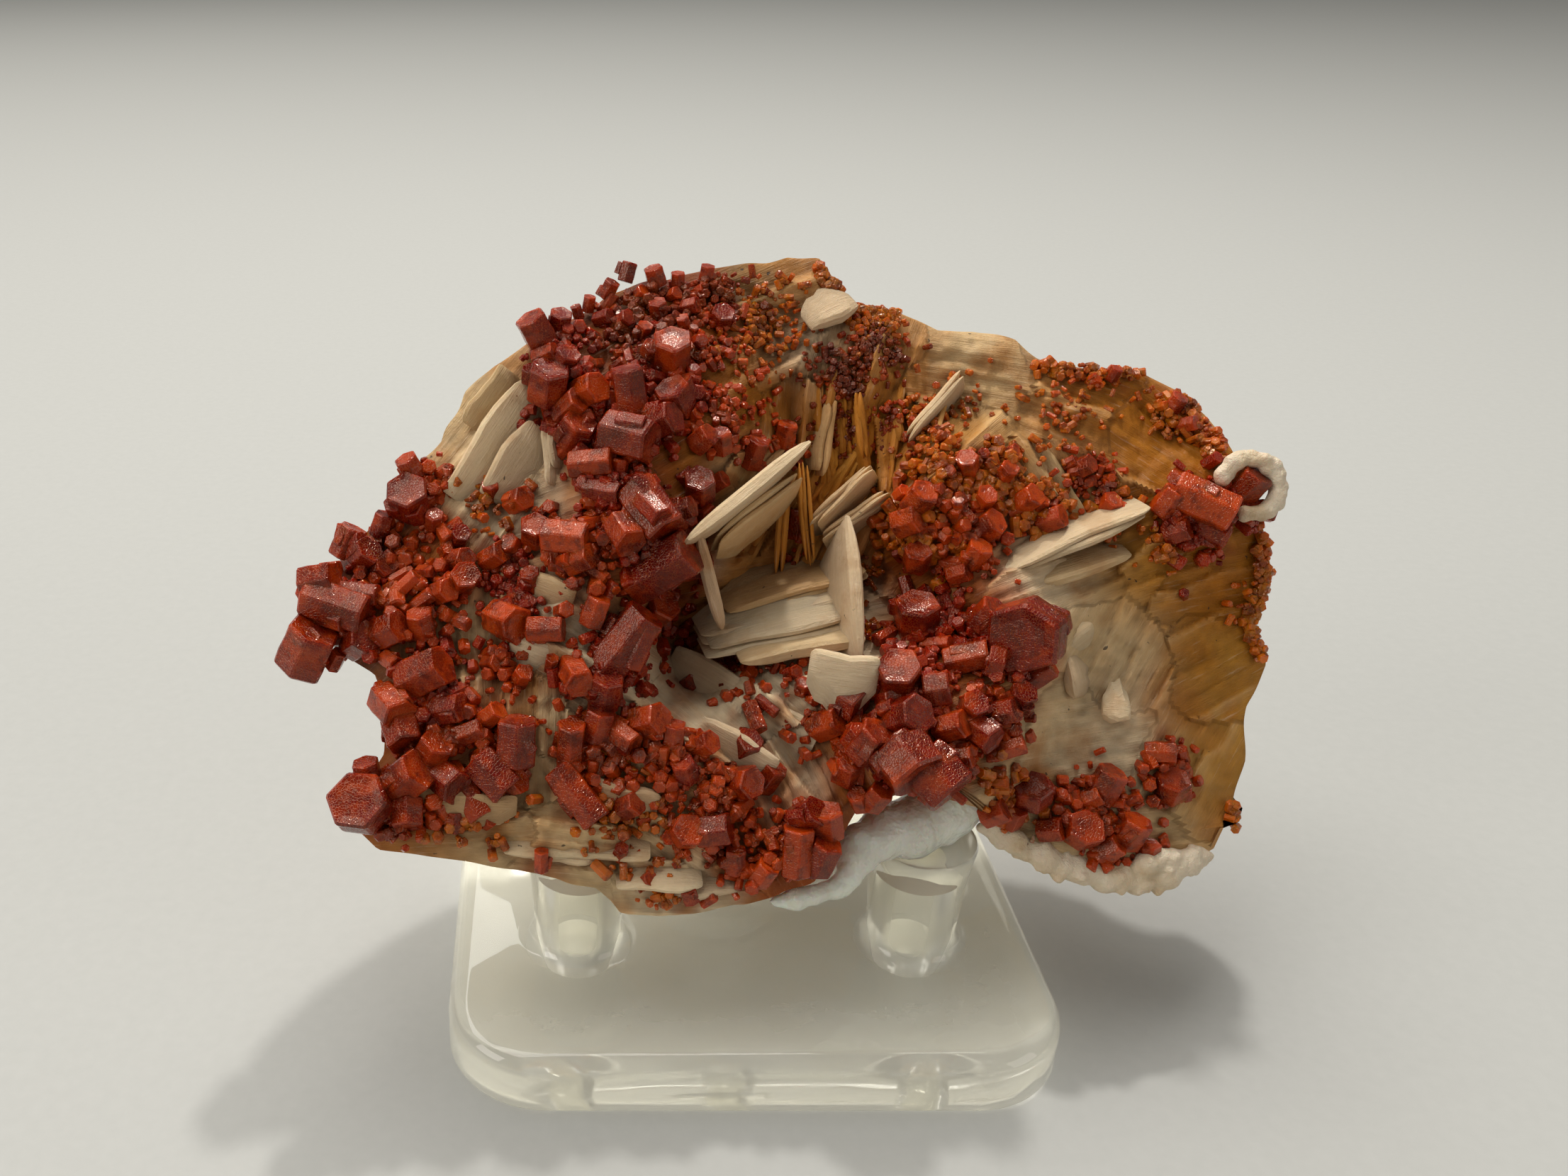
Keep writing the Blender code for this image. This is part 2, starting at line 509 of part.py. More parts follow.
def druse(name, across, up, half_length, half_width, turn, margin=0.0):
    """The low crust of small crystals under a cluster: a lens that follows the rock's face."""
    angle = math.radians(turn)
    sides = 7
    rings = []
    heights = (0.75 * DRUSE_HEIGHT, 0.35 * DRUSE_HEIGHT, -DRUSE_ROOT, -DRUSE_ROOT)
    for share, lift in zip((0.55, 1.0, 1.0, 0.55), heights):
        ring = []
        for i in range(sides):
            away = 2 * math.pi * i / sides
            along = (half_length + margin) * share * math.cos(away)
            aside = (half_width + margin) * share * math.sin(away)
            place_across = across + along * math.cos(angle) - aside * math.sin(angle)
            place_up = up + along * math.sin(angle) + aside * math.cos(angle)
            lifted = lift + (margin if lift > 0 else -margin)
            ring.append(on_face((place_across, place_up, relief(place_across, place_up) + lifted)))
        rings.append(ring)
    points = [point for ring in rings for point in ring]
    faces = []
    for ring in range(3):
        for i in range(sides):
            low, high = ring * sides, (ring + 1) * sides
            faces.append((low + i, low + (i + 1) % sides, high + (i + 1) % sides, high + i))
    top, bottom = len(points), len(points) + 1
    points.append(on_face((across, up, relief(across, up) + DRUSE_HEIGHT + margin)))
    points.append(on_face((across, up, relief(across, up) - DRUSE_ROOT - margin)))
    last = 3 * sides
    faces += [(top, (i + 1) % sides, i) for i in range(sides)]
    faces += [(bottom, last + i, last + (i + 1) % sides) for i in range(sides)]
    return new_object(name, points, faces)


def roll(name, path, sides=6):
    """A lumpy roll along a path in the face: each place is (across, up, out, radius)."""
    centres = [on_face(place[:3]) for place in path]
    points = []
    for number, (centre, place) in enumerate(zip(centres, path)):
        before, after = centres[max(number - 1, 0)], centres[min(number + 1, len(path) - 1)]
        along = (after - before) / np.linalg.norm(after - before)
        aside = np.cross(along, FACE_OUT)
        aside /= np.linalg.norm(aside)
        out = np.cross(aside, along)
        for i in range(sides):
            angle = 2 * math.pi * (i + 0.5) / sides
            points.append(centre + (aside * math.cos(angle) + out * math.sin(angle)) * place[3])
    faces = []
    for number in range(len(path) - 1):
        for i in range(sides):
            low, high = number * sides, (number + 1) * sides
            faces.append((low + i, low + (i + 1) % sides, high + (i + 1) % sides, high + i))
    first, last = len(points), len(points) + 1
    for end, number in ((first, 0), (last, len(path) - 1)):
        beside = 1 if number == 0 else number - 1
        outward = centres[number] - centres[beside]
        points.append(centres[number] + outward / np.linalg.norm(outward) * path[number][3] * 0.5)
        ring = number * sides
        faces += [(end, ring + i, ring + (i + 1) % sides) for i in range(sides)]
    return new_object(name, points, faces)


def crust_rolls(name):
    """The pale crust: along the lower right edge, and round the crystal at the far right."""
    ring = []
    for step in range(RING_CRUST_STEPS):
        share = step / (RING_CRUST_STEPS - 1)
        angle = math.radians(RING_CRUST_FROM + (RING_CRUST_TO - RING_CRUST_FROM) * share)
        across = RING_CRUST_CENTRE[0] + RING_CRUST_RADIUS * math.cos(angle)
        up = RING_CRUST_CENTRE[1] + RING_CRUST_RADIUS * math.sin(angle)
        ring.append((across, up, RING_CRUST_CENTRE[2], RING_CRUST_THICKNESS))
    return [roll(f"{name}_edge", EDGE_CRUST), roll(f"{name}_ring", ring)]


def matrix(name, cutters):
    """The rock: its core with blades and crust grown on it, notched where crystals sit among them."""
    growths = [blade(f"blade_{i}", *values) for i, values in enumerate(BLADES)]
    growths += crust_rolls("crust")
    first, rest = growths[0], growths[1:]
    merged(first, rest, "UNION")
    merged(first, cutters, "DIFFERENCE")
    rock = merged(core(name), [first], "UNION")
    posts = [post(f"socket_{label}", x, y, GAP) for label, x, y in POSTS]
    merged(rock, posts, "DIFFERENCE")
    keep_largest_piece(rock)
    return rock


def cluster(name, bases, crystals, raised_core):
    """One cluster: its druse and crystals joined in one solid, cut off just above the rock."""
    parts = [druse(f"{name}_base_{i}", *values) for i, values in enumerate(bases)]
    parts += [prism(f"{name}_crystal_{i}", *values) for i, values in enumerate(crystals)]
    made = merged(parts[0], parts[1:], "UNION")
    merged(made, [copy_of(raised_core)], "DIFFERENCE")
    keep_largest_piece(made)
    made.name = name
    return made


def post(name, x, y, margin=0.0):
    """One post as a turned solid, from inside the plate up to its top."""
    top = POST_TOP_Z + margin
    profile = [(POST_FOOT_RADIUS + POST_FILLET + margin, PLATE_THICKNESS - 0.4)]
    for step in range(4):
        angle = math.radians(90 * step / 3)
        radius = POST_FOOT_RADIUS + POST_FILLET * (1 - math.sin(angle))
        profile.append((radius + margin, PLATE_THICKNESS + POST_FILLET * (1 - math.cos(angle))))
    profile.append((POST_TOP_RADIUS + margin, top - 0.4))
    profile.append((POST_TOP_RADIUS + margin - 0.4, top))
    points, faces = [], []
    for radius, z in profile:
        for i in range(POST_SIDES):
            angle = 2 * math.pi * i / POST_SIDES
            points.append((x + radius * math.cos(angle), y + radius * math.sin(angle), z))
    for ring in range(len(profile) - 1):
        for i in range(POST_SIDES):
            j = (i + 1) % POST_SIDES
            low, high = ring * POST_SIDES, (ring + 1) * POST_SIDES
            faces.append((low + i, low + j, high + j, high + i))
    last = (len(profile) - 1) * POST_SIDES
    faces.append(tuple(range(POST_SIDES - 1, -1, -1)))
    faces.append(tuple(last + i for i in range(POST_SIDES)))
    return new_object(name, points, faces)


def plate(name):
    """The stand's plate: a rounded rectangle with its upper edge rounded over."""
    corner_steps = 5
    outline = []
    for quarter in range(4):
        sign_x = 1 if quarter in (0, 3) else -1
        sign_y = 1 if quarter in (0, 1) else -1
        centre_x = sign_x * (PLATE_WIDTH / 2 - PLATE_CORNER_RADIUS)
        centre_y = sign_y * (PLATE_DEPTH / 2 - PLATE_CORNER_RADIUS)
        for step in range(corner_steps + 1):
            angle = math.radians(90 * quarter + 90 * step / corner_steps)
            outline.append((centre_x, centre_y, math.cos(angle), math.sin(angle)))
    levels = [(0.4, 0.0), (0.0, 0.4)]
    for step in range(4):
        angle = math.radians(90 * step / 3)
        inset = PLATE_EDGE_RADIUS * (1 - math.cos(angle))
        levels.append((inset, PLATE_THICKNESS - PLATE_EDGE_RADIUS * (1 - math.sin(angle))))
    points, faces = [], []
    for inset, z in levels:
        for centre_x, centre_y, away_x, away_y in outline:
            reach = PLATE_CORNER_RADIUS - inset
            points.append((centre_x + away_x * reach, centre_y + away_y * reach, z))
    count = len(outline)
    for level in range(len(levels) - 1):
        for i in range(count):
            j = (i + 1) % count
            low, high = level * count, (level + 1) * count
            faces.append((low + i, low + j, high + j, high + i))
    last = (len(levels) - 1) * count
    faces.append(tuple(range(count - 1, -1, -1)))
    faces.append(tuple(last + i for i in range(count)))
    return new_object(name, points, faces)


def post_bore(name, x, y):
    """The blind hole up the middle of a moulded post, from the underside."""
    points, faces = [], []
    profile = ((POST_BORE_RADIUS + 0.3, -1.0), (POST_BORE_RADIUS, POST_BORE_TOP_Z))
    for radius, z in profile:
        for i in range(BORE_SIDES):
            angle = 2 * math.pi * i / BORE_SIDES
            points.append((x + radius * math.cos(angle), y + radius * math.sin(angle), z))
    for i in range(BORE_SIDES):
        j = (i + 1) % BORE_SIDES
        faces.append((i, j, BORE_SIDES + j, BORE_SIDES + i))
    faces.append(tuple(range(BORE_SIDES - 1, -1, -1)))
    faces.append(tuple(range(BORE_SIDES, 2 * BORE_SIDES)))
    return new_object(name, points, faces)


def stand(name):
    """The moulded stand: plate and posts in one piece."""
    made = merged(plate(name), [post(f"post_{label}", x, y) for label, x, y in POSTS], "UNION")
    bores = [post_bore(f"bore_{label}", x, y) for label, x, y in POSTS]
    return merged(made, bores, "DIFFERENCE")


def glue(name, lumps, keep_clear):
    """A blob of set adhesive, cut clear of what it holds."""
    parts = []
    for number, (across, up, out, radius) in enumerate(lumps):
        centre = on_face((across, up, out))
        radii = (radius, radius, radius)
        parts.append(lump(f"{name}_{number}", centre, FACE_RIGHT, FACE_UP, FACE_OUT, radii))
    made = merged(parts[0], parts[1:], "UNION")
    merged(made, keep_clear, "DIFFERENCE")
    keep_largest_piece(made)
    made.name = name
    return made


def finish(obj, kind):
    """Turns an object from millimetres into metres and gives it its own material."""
    obj.data.transform(Matrix.Scale(MM, 4))
    colour, roughness, transmission = MATERIALS[kind]
    material = bpy.data.materials.new(obj.name)
    material.use_nodes = True
    shader = material.node_tree.nodes["Principled BSDF"]
    shader.inputs["Base Color"].default_value = (*colour, 1.0)
    shader.inputs["Roughness"].default_value = roughness
    shader.inputs["Metallic"].default_value = 0.0
    shader.inputs["Transmission Weight"].default_value = transmission
    material.diffuse_color = (*colour, 1.0)
    obj.data.materials.clear()
    obj.data.materials.append(material)
    if kind in ROUND_KINDS:
        obj.data.shade_smooth()
        obj.data.set_sharp_from_angle(angle=math.radians(SHARP_ABOVE))


def main():
    for obj in list(bpy.data.objects):
        bpy.data.objects.remove(obj)
    raised_core = core("raised_core", GAP)
    cutters = []
    for name, (bases, crystals) in CLUSTERS.items():
        cutters += [druse(f"{name}_clear_{i}", *values, margin=GAP) for i, values in enumerate(bases)]
        cutters += [prism(f"{name}_space_{i}", *values, margin=GAP) for i, values in enumerate(crystals)]
    glue_clear = [copy_of(cutter) for cutter in cutters]
    rock = matrix("barite_matrix", cutters)
    finish(rock, "barite")
    for name, (bases, crystals) in CLUSTERS.items():
        finish(cluster(name, bases, crystals, raised_core), "vanadinite")
    glue_clear.append(copy_of(raised_core))
    glue_clear += [post(f"clear_{label}", x, y, GAP) for label, x, y in POSTS]
    for name, lumps in GLUE_LUMPS.items():
        finish(glue(name, lumps, glue_clear), "adhesive")
    bpy.data.objects.remove(raised_core)
    finish(stand("display_stand"), "clear_plastic")


main()
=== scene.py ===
"""The looks of a vanadinite specimen on its clear peg stand.

A place on the specimen's face is (across, up, out) in millimetres, laid out as in the part: across
and up are read on a plane that faces the photograph's viewpoint, and out is how much nearer to the
viewer it stands.
"""

import math

import bmesh
import bpy
import numpy as np
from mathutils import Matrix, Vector


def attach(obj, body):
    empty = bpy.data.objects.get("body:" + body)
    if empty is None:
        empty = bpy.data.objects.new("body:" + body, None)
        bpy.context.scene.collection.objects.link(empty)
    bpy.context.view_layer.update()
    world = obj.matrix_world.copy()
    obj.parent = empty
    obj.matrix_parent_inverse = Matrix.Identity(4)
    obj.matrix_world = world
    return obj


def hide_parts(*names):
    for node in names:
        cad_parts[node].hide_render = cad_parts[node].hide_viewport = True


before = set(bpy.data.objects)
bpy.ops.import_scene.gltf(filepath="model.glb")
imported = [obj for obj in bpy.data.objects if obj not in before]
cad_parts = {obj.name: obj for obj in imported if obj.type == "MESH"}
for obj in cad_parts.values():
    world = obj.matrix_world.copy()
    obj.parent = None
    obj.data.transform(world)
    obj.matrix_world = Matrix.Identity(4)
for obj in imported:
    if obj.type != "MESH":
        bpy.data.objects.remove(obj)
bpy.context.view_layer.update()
rng = np.random.default_rng(7)

MM = 0.001

# The photograph's viewpoint, and the plane that the face is laid out on
EYE = np.array((-14.84, -89.1, 76.0))
PITCH = math.radians(26.6)
PLANE_DEPTH = 96.8
SIGHT_AXIS_LEFT = 16.35
LOOK = np.array((0.0, math.cos(PITCH), -math.sin(PITCH)))
RIGHT = np.array((1.0, 0.0, 0.0))
UP = np.array((0.0, math.sin(PITCH), math.cos(PITCH)))
OUT = -LOOK
IMAGE_WIDTH = 2212
SENSOR_WIDTH = 36.0
PIXELS_PER_MM = 20.25

# The rock, as in the part
OUTLINE = (
    (34.0, 1.5), (33.4, 4.6), (32.8, 7.4), (31.0, 9.8), (29.2, 12.0), (27.4, 13.8), (25.0, 15.0),
    (21.5, 15.2), (17.8, 15.9), (16.0, 17.2), (13.2, 17.9), (10.7, 17.9), (8.2, 19.2), (4.8, 19.5),
    (3.9, 21.0), (2.4, 22.8), (0.2, 23.1), (-2.6, 22.5), (-6.0, 22.0), (-9.4, 21.3), (-12.4, 20.3),
    (-15.0, 18.6), (-17.8, 17.0), (-20.2, 15.5), (-22.2, 13.6), (-23.8, 10.2), (-25.6, 8.6),
    (-27.4, 5.8), (-29.6, 3.0), (-31.6, 0.4), (-32.4, -2.6), (-30.6, -4.6), (-28.4, -6.0),
    (-27.6, -8.6), (-28.0, -11.6), (-29.6, -14.0), (-29.8, -16.6), (-28.2, -18.2), (-25.0, -18.8),
    (-21.0, -19.3), (-17.2, -19.9), (-13.2, -21.0), (-11.4, -22.5), (-7.6, -22.9), (-4.0, -22.3),
    (-0.6, -21.3), (2.2, -20.3), (3.8, -18.0), (5.2, -15.4), (7.8, -14.2), (11.0, -14.6),
    (13.6, -15.4), (15.9, -17.3), (19.0, -19.4), (23.2, -20.2), (26.4, -20.4), (28.6, -18.9),
    (31.6, -17.2), (31.4, -14.8), (32.0, -12.0), (32.3, -8.2), (33.6, -5.2), (32.8, -2.6),
)
CENTRE = (-1.0, -2.0)
RELIEF = np.array((
    (-33, -3, 0.0), (-27, 7, -2.5), (-21, 13, -4.0), (-19, 8, -3.2), (-12, 21, -6.0), (-5, 22, -7.0),
    (2, 22, -8.0), (10, 18, -8.0), (18, 15, -7.5), (27, 13, -8.0), (33, 8, -6.0), (28, 5, -4.5),
    (33, 0, -7.0), (33, -6, -7.0), (31, -15, -6.0), (22, -5, -5.0), (22, -12, -4.0), (20, -17, -2.8),
    (26, -20, -4.0), (16, -3, 1.6), (9, -6, 2.2), (9, -12, 2.6), (14, -9, 1.2), (5, -16, 0.8),
    (0, -20, 1.4), (-8, -21, 1.8), (-8, -13, 2.2), (-16, -18, 2.8), (-27, -16, 3.2), (-20, -11, 2.4),
    (-26, -9, 1.8), (-22, -3, 0.4), (-13, -4, 1.8), (-9, 2, 2.2), (-14, 4, 0.8), (-20, 3, -1.2),
    (-10, 9, -0.2), (-14, 14, -2.0), (-8, 15, -3.2), (-4, 8, -1.4), (-1, 3, -11.0), (-6, -2, -10.5),
    (3, 1, -9.0), (1, -2, -6.5), (4, 7, -8.0), (0, 6, -9.0), (3, 11, -7.5), (5, 15, -6.0),
    (6.5, -3, -6.5), (12, -2, -4.5), (4, -6, -0.8), (0, -9, -1.0), (10, 5, -3.0), (17, 7, -4.5),
    (22, 8, -6.0), (20, 2, -5.4),
))
RELIEF_REACH = 2.6
RIM_THICKNESS = 3.0
BACK_DEPTH = 20.0
UNDERSIDE_Z = 14.3
UNDERSIDES = ((-60.0, 17.5, -10.5), (17.5, 60.0, -5.5))
ROCK_AROUND, FRONT_RINGS, BACK_RINGS = 640, 122, 30  # how finely the rock is divided
BROAD_PLATES, NARROW_PLATES = 2.9, 0.95  # widths, in mm, of the terraces on the rock's face
HIGHLIGHT_STRONGER_FROM = 8.0  # the painted highlight on the terraces' free edges is stronger to the right of this

# Linear colours
CREAM = (0.60, 0.41, 0.205)
WHITE = (0.66, 0.51, 0.325)
TAN = (0.30, 0.155, 0.035)
OCHRE = (0.38, 0.125, 0.004)
AMBER = (0.44, 0.200, 0.020)
BROWN = (0.12, 0.018, 0.001)
STAIN = (0.30, 0.060, 0.003)
HOLLOW_AMBER_GLOW = (0.60, 0.23, 0.030)
DEEP = (0.14, 0.0010, 0.0003)
RED = (0.24, 0.0035, 0.0005)
ORANGE = (0.42, 0.040, 0.0010)
GOLD = (0.54, 0.140, 0.0050)
LATH_EDGE_HIGHLIGHT, SPECK = (0.84, 0.74, 0.58), (0.02, 0.015, 0.012)
CRYSTAL_DARK, CRYSTAL_DEPTH = (0.055, 0.0006, 0.0003), (0.07, 0.0012, 0.0004)
CRYSTAL_LIT = (0.62, 0.13, 0.02)
CRUST_PALE, CRUST_OCHRE = (0.70, 0.58, 0.42), (0.54, 0.37, 0.18)
MILK_PALE, MILK_DULL = (0.95, 0.94, 0.82), (0.86, 0.83, 0.72)
PLASTIC_CLEAR, PLASTIC_SMEARED = (1.0, 0.985, 0.89), (0.96, 0.94, 0.83)
FLOOR_DULL, FLOOR_PALE = (0.418, 0.415, 0.388), (0.456, 0.453, 0.424)

# Below this height, and this close to the middle, the rock is mixed toward the hollows' amber, made
# brighter than their own colour as painted light that lifts the shade there
HOLLOW_BELOW, HOLLOW_ACROSS, HOLLOW_REACH = -7.0, 1.0, 9.0

# What colour the rock is, and where: (across, up, reach, colour)
ROCK_TONES = (
    (-21, 12, 5, CREAM), (-19, 7, 3, WHITE), (-23, -4, 3, CREAM), (-15, -4, 3, WHITE),
    (-17, -10, 2, CREAM),
    (-26, 2, 3, STAIN), (-24, -10, 4, STAIN), (-20, -17, 5, CREAM), (-25, -18, 3, OCHRE),
    (-10, -18, 4, CREAM),
    (-8, -21, 3, WHITE), (-17, -19.5, 1.5, STAIN), (-12, -14, 3, CREAM), (-4, -16, 3, STAIN),
    (0, -13, 2.5, WHITE),
    (-10, 4, 4, STAIN), (-12, 12, 5, STAIN), (-9, 18, 5, BROWN), (-1, 21.5, 3, TAN), (2, 18, 3, WHITE),
    (4, 21, 2, OCHRE), (-3, 14, 3.5, OCHRE), (5, 14, 3, OCHRE), (7, 17, 3, OCHRE),
    (9.5, 19, 1.5, CREAM),
    (-2, 7, 2.5, CREAM), (0, 2, 3, WHITE), (3, 6, 2.5, AMBER), (0, -2, 3, WHITE), (4, -5, 3, WHITE),
    (-4, -8, 3, WHITE), (-6, -2, 2, BROWN), (9, 11, 3, OCHRE), (14, 15, 4, CREAM), (13, 10, 3, AMBER),
    (20, 12, 4, OCHRE), (26, 12, 4, OCHRE), (29, 9, 3, OCHRE), (19, 7, 3, CREAM), (23, 6, 3, OCHRE),
    (12, 4, 4, STAIN), (12, -6, 4, STAIN), (19, 2, 3, WHITE), (24, 2, 3, AMBER), (29, 2, 4, OCHRE),
    (33, 0, 3, OCHRE), (31, -6, 3, AMBER), (27, -8, 2, OCHRE), (22, -4, 3, CREAM), (22, -11, 4, WHITE),
    (18, -9, 3, CREAM), (29, -13, 3, AMBER), (31, -17, 2, OCHRE), (25, -19, 4, CREAM),
    (18, -18, 3, CREAM),
    (5, -12, 3, STAIN), (1, -19, 3, STAIN), (-28, -15, 3, STAIN), (-31, -2, 4, BROWN),
)
# Which way the rock's laths run: (across, up, direction in degrees, how far they stand proud)
GRAIN = np.array((
    (-21, 13, 52, 0.5), (-19, 8, 62, 0.5), (-25, 3, 55, 0.3), (-22, -4, 92, 0.5), (-15, -4, -32, 0.5),
    (-17, -10, 90, 0.4), (-25, -10, 40, 0.3), (-22, -17, 4, 0.5), (-14, -18, -6, 0.5),
    (-8, -16, -32, 0.5),
    (-7, -21, -2, 0.5), (0, -14, -62, 0.5), (-4, -8, -42, 0.5), (0, -2, 12, 0.5), (2, 5, 60, 0.6),
    (4, 11, 86, 0.6), (6, 16, 70, 0.5), (0, 20, 22, 0.4), (-8, 12, 30, 0.3), (-14, 5, 20, 0.3),
    (13, 15, -8, 0.35), (20, 13, -20, 0.35), (27, 11, -32, 0.35), (19, 8, -56, 0.5), (12, 10, 40, 0.4),
    (13, 4, 30, 0.3), (19, 2, 22, 0.5), (26, 4, 20, 0.4), (30, 1, 12, 0.45), (31, -5, 28, 0.4),
    (22, -4, 60, 0.35), (21, -11, 10, 0.12), (28, -12, 62, 0.3), (25, -18, 8, 0.2), (15, -8, 20, 0.2),
))

# Big blades: the outer edge's two ends, thickness, depth into the rock, lean, colour, number of leaves
BLADES = (
    ((-7.2, 3.0, 2.2), (2.6, 10.9, -2.5), 1.0, 7.0, -9, WHITE, 1),
    ((-5.0, 3.2, -0.4), (1.4, 8.2, -3.6), 0.9, 6.0, -20, CREAM, 2),
    ((-5.9, 3.6, 1.2), (-4.1, -3.6, -2.8), 0.9, 8.0, 12, WHITE, 1),
    ((-4.8, -2.4, -4.4), (6.4, 0.9, -5.6), 1.2, 7.0, 30, CREAM, 2),
    ((-6.2, -4.0, -3.4), (6.4, -0.7, -4.4), 1.3, 7.0, 32, WHITE, 2),
    ((-5.8, -5.0, -2.6), (6.4, -2.2, -3.4), 1.3, 7.0, 34, WHITE, 2),
    ((-3.4, -5.4, -1.6), (6.2, -3.6, -2.2), 1.0, 6.0, 28, CREAM, 1),
    ((4.7, 5.6, -3.0), (5.6, -5.2, -0.6), 0.9, 9.0, -3, WHITE, 1),
    ((0.2, -4.0, 0.4), (7.4, -5.0, 1.3), 1.0, 5.6, -74, WHITE, 1),
    ((1.6, 4.3, -5.4), (6.2, 8.8, -5.0), 1.0, 6.0, -26, WHITE, 3),
    ((2.6, 3.4, -5.8), (7.4, 6.8, -5.0), 1.0, 6.0, -22, WHITE, 3),
    ((8.4, 10.4, -4.9), (12.8, 15.5, -5.8), 0.9, 5.0, -24, WHITE, 2),
    ((1.3, 9.2, -4.8), (1.9, 1.2, -6.4), 0.8, 6.0, 12, HOLLOW_AMBER_GLOW, 3),
    ((0.2, 7.6, -6.4), (-0.4, 0.6, -7.6), 0.8, 5.0, 8, HOLLOW_AMBER_GLOW, 2),
    ((3.6, 13.4, -5.9), (2.6, 7.6, -6.5), 0.8, 5.0, -20, CREAM, 2),
    ((5.0, 14.0, -5.4), (5.6, 8.8, -6.1), 0.8, 5.0, 24, HOLLOW_AMBER_GLOW, 2),
    ((15.2, 0.6, -2.6), (26.2, 5.4, -3.4), 1.1, 6.0, 30, WHITE, 2),
    ((14.8, -1.0, -3.4), (25.0, 2.2, -4.4), 0.9, 4.0, 40, CREAM, 1),
    ((1.2, 17.4, -5.8), (5.8, 19.6, -6.6), 1.0, 4.0, 56, WHITE, 1),
    ((-16.8, 12.4, -2.4), (-16.2, 5.6, -0.8), 1.1, 3.0, 44, WHITE, 2),
    ((-22.4, -18.6, 2.9), (-7.0, -19.4, 2.7), 1.2, 4.0, 50, WHITE, 2),
    ((-12.2, -21.4, 2.5), (-1.6, -21.2, 2.1), 1.2, 4.0, 46, WHITE, 2),
    ((18.6, -4.4, -3.4), (22.6, -1.2, -4.0), 1.0, 4.0, -50, WHITE, 1),
    ((20.2, -8.8, -2.9), (26.2, -9.8, -3.7), 1.2, 3.6, 66, WHITE, 1),
    ((19.2, -4.4, -3.6), (20.4, -8.8, -2.9), 1.0, 3.4, 52, WHITE, 1),
)

# Broad sheets lying on the rock: the free edge's two ends, thickness, width, lean, colour
SHEETS = (
    ((-7.6, -3.6), (4.2, -10.4), 0.8, 4.6, -78, WHITE),
    ((-9.8, -6.2), (3.2, -13.8), 0.8, 3.2, -74, WHITE),
    ((-24.4, 6.4), (-18.0, 15.6), 0.8, 4.6, -72, WHITE),
    ((-22.6, 5.4), (-16.8, 13.6), 0.8, 4.4, -70, WHITE),
    ((-24.0, 9.8), (-18.4, 17.8), 0.8, 4.2, -74, CREAM),
    ((16.6, 12.2), (22.2, 4.0), 0.8, 3.4, -76, CREAM),
    ((12.8, 11.0), (18.6, 4.6), 0.8, 3.0, -74, CREAM),
    ((-21.0, -2.0), (-12.4, -5.8), 0.8, 3.2, -74, WHITE),
    ((-19.6, 2.2), (-13.0, -0.6), 0.8, 2.8, -72, CREAM),
    ((-15.4, -12.6), (-4.4, -15.4), 0.8, 3.4, -76, WHITE),
    ((-27.0, -13.8), (-16.0, -14.6), 0.8, 3.2, -76, CREAM),
)
SHEET_LIFT = 0.55  # how far a sheet's free edge stands over the rock, in mm

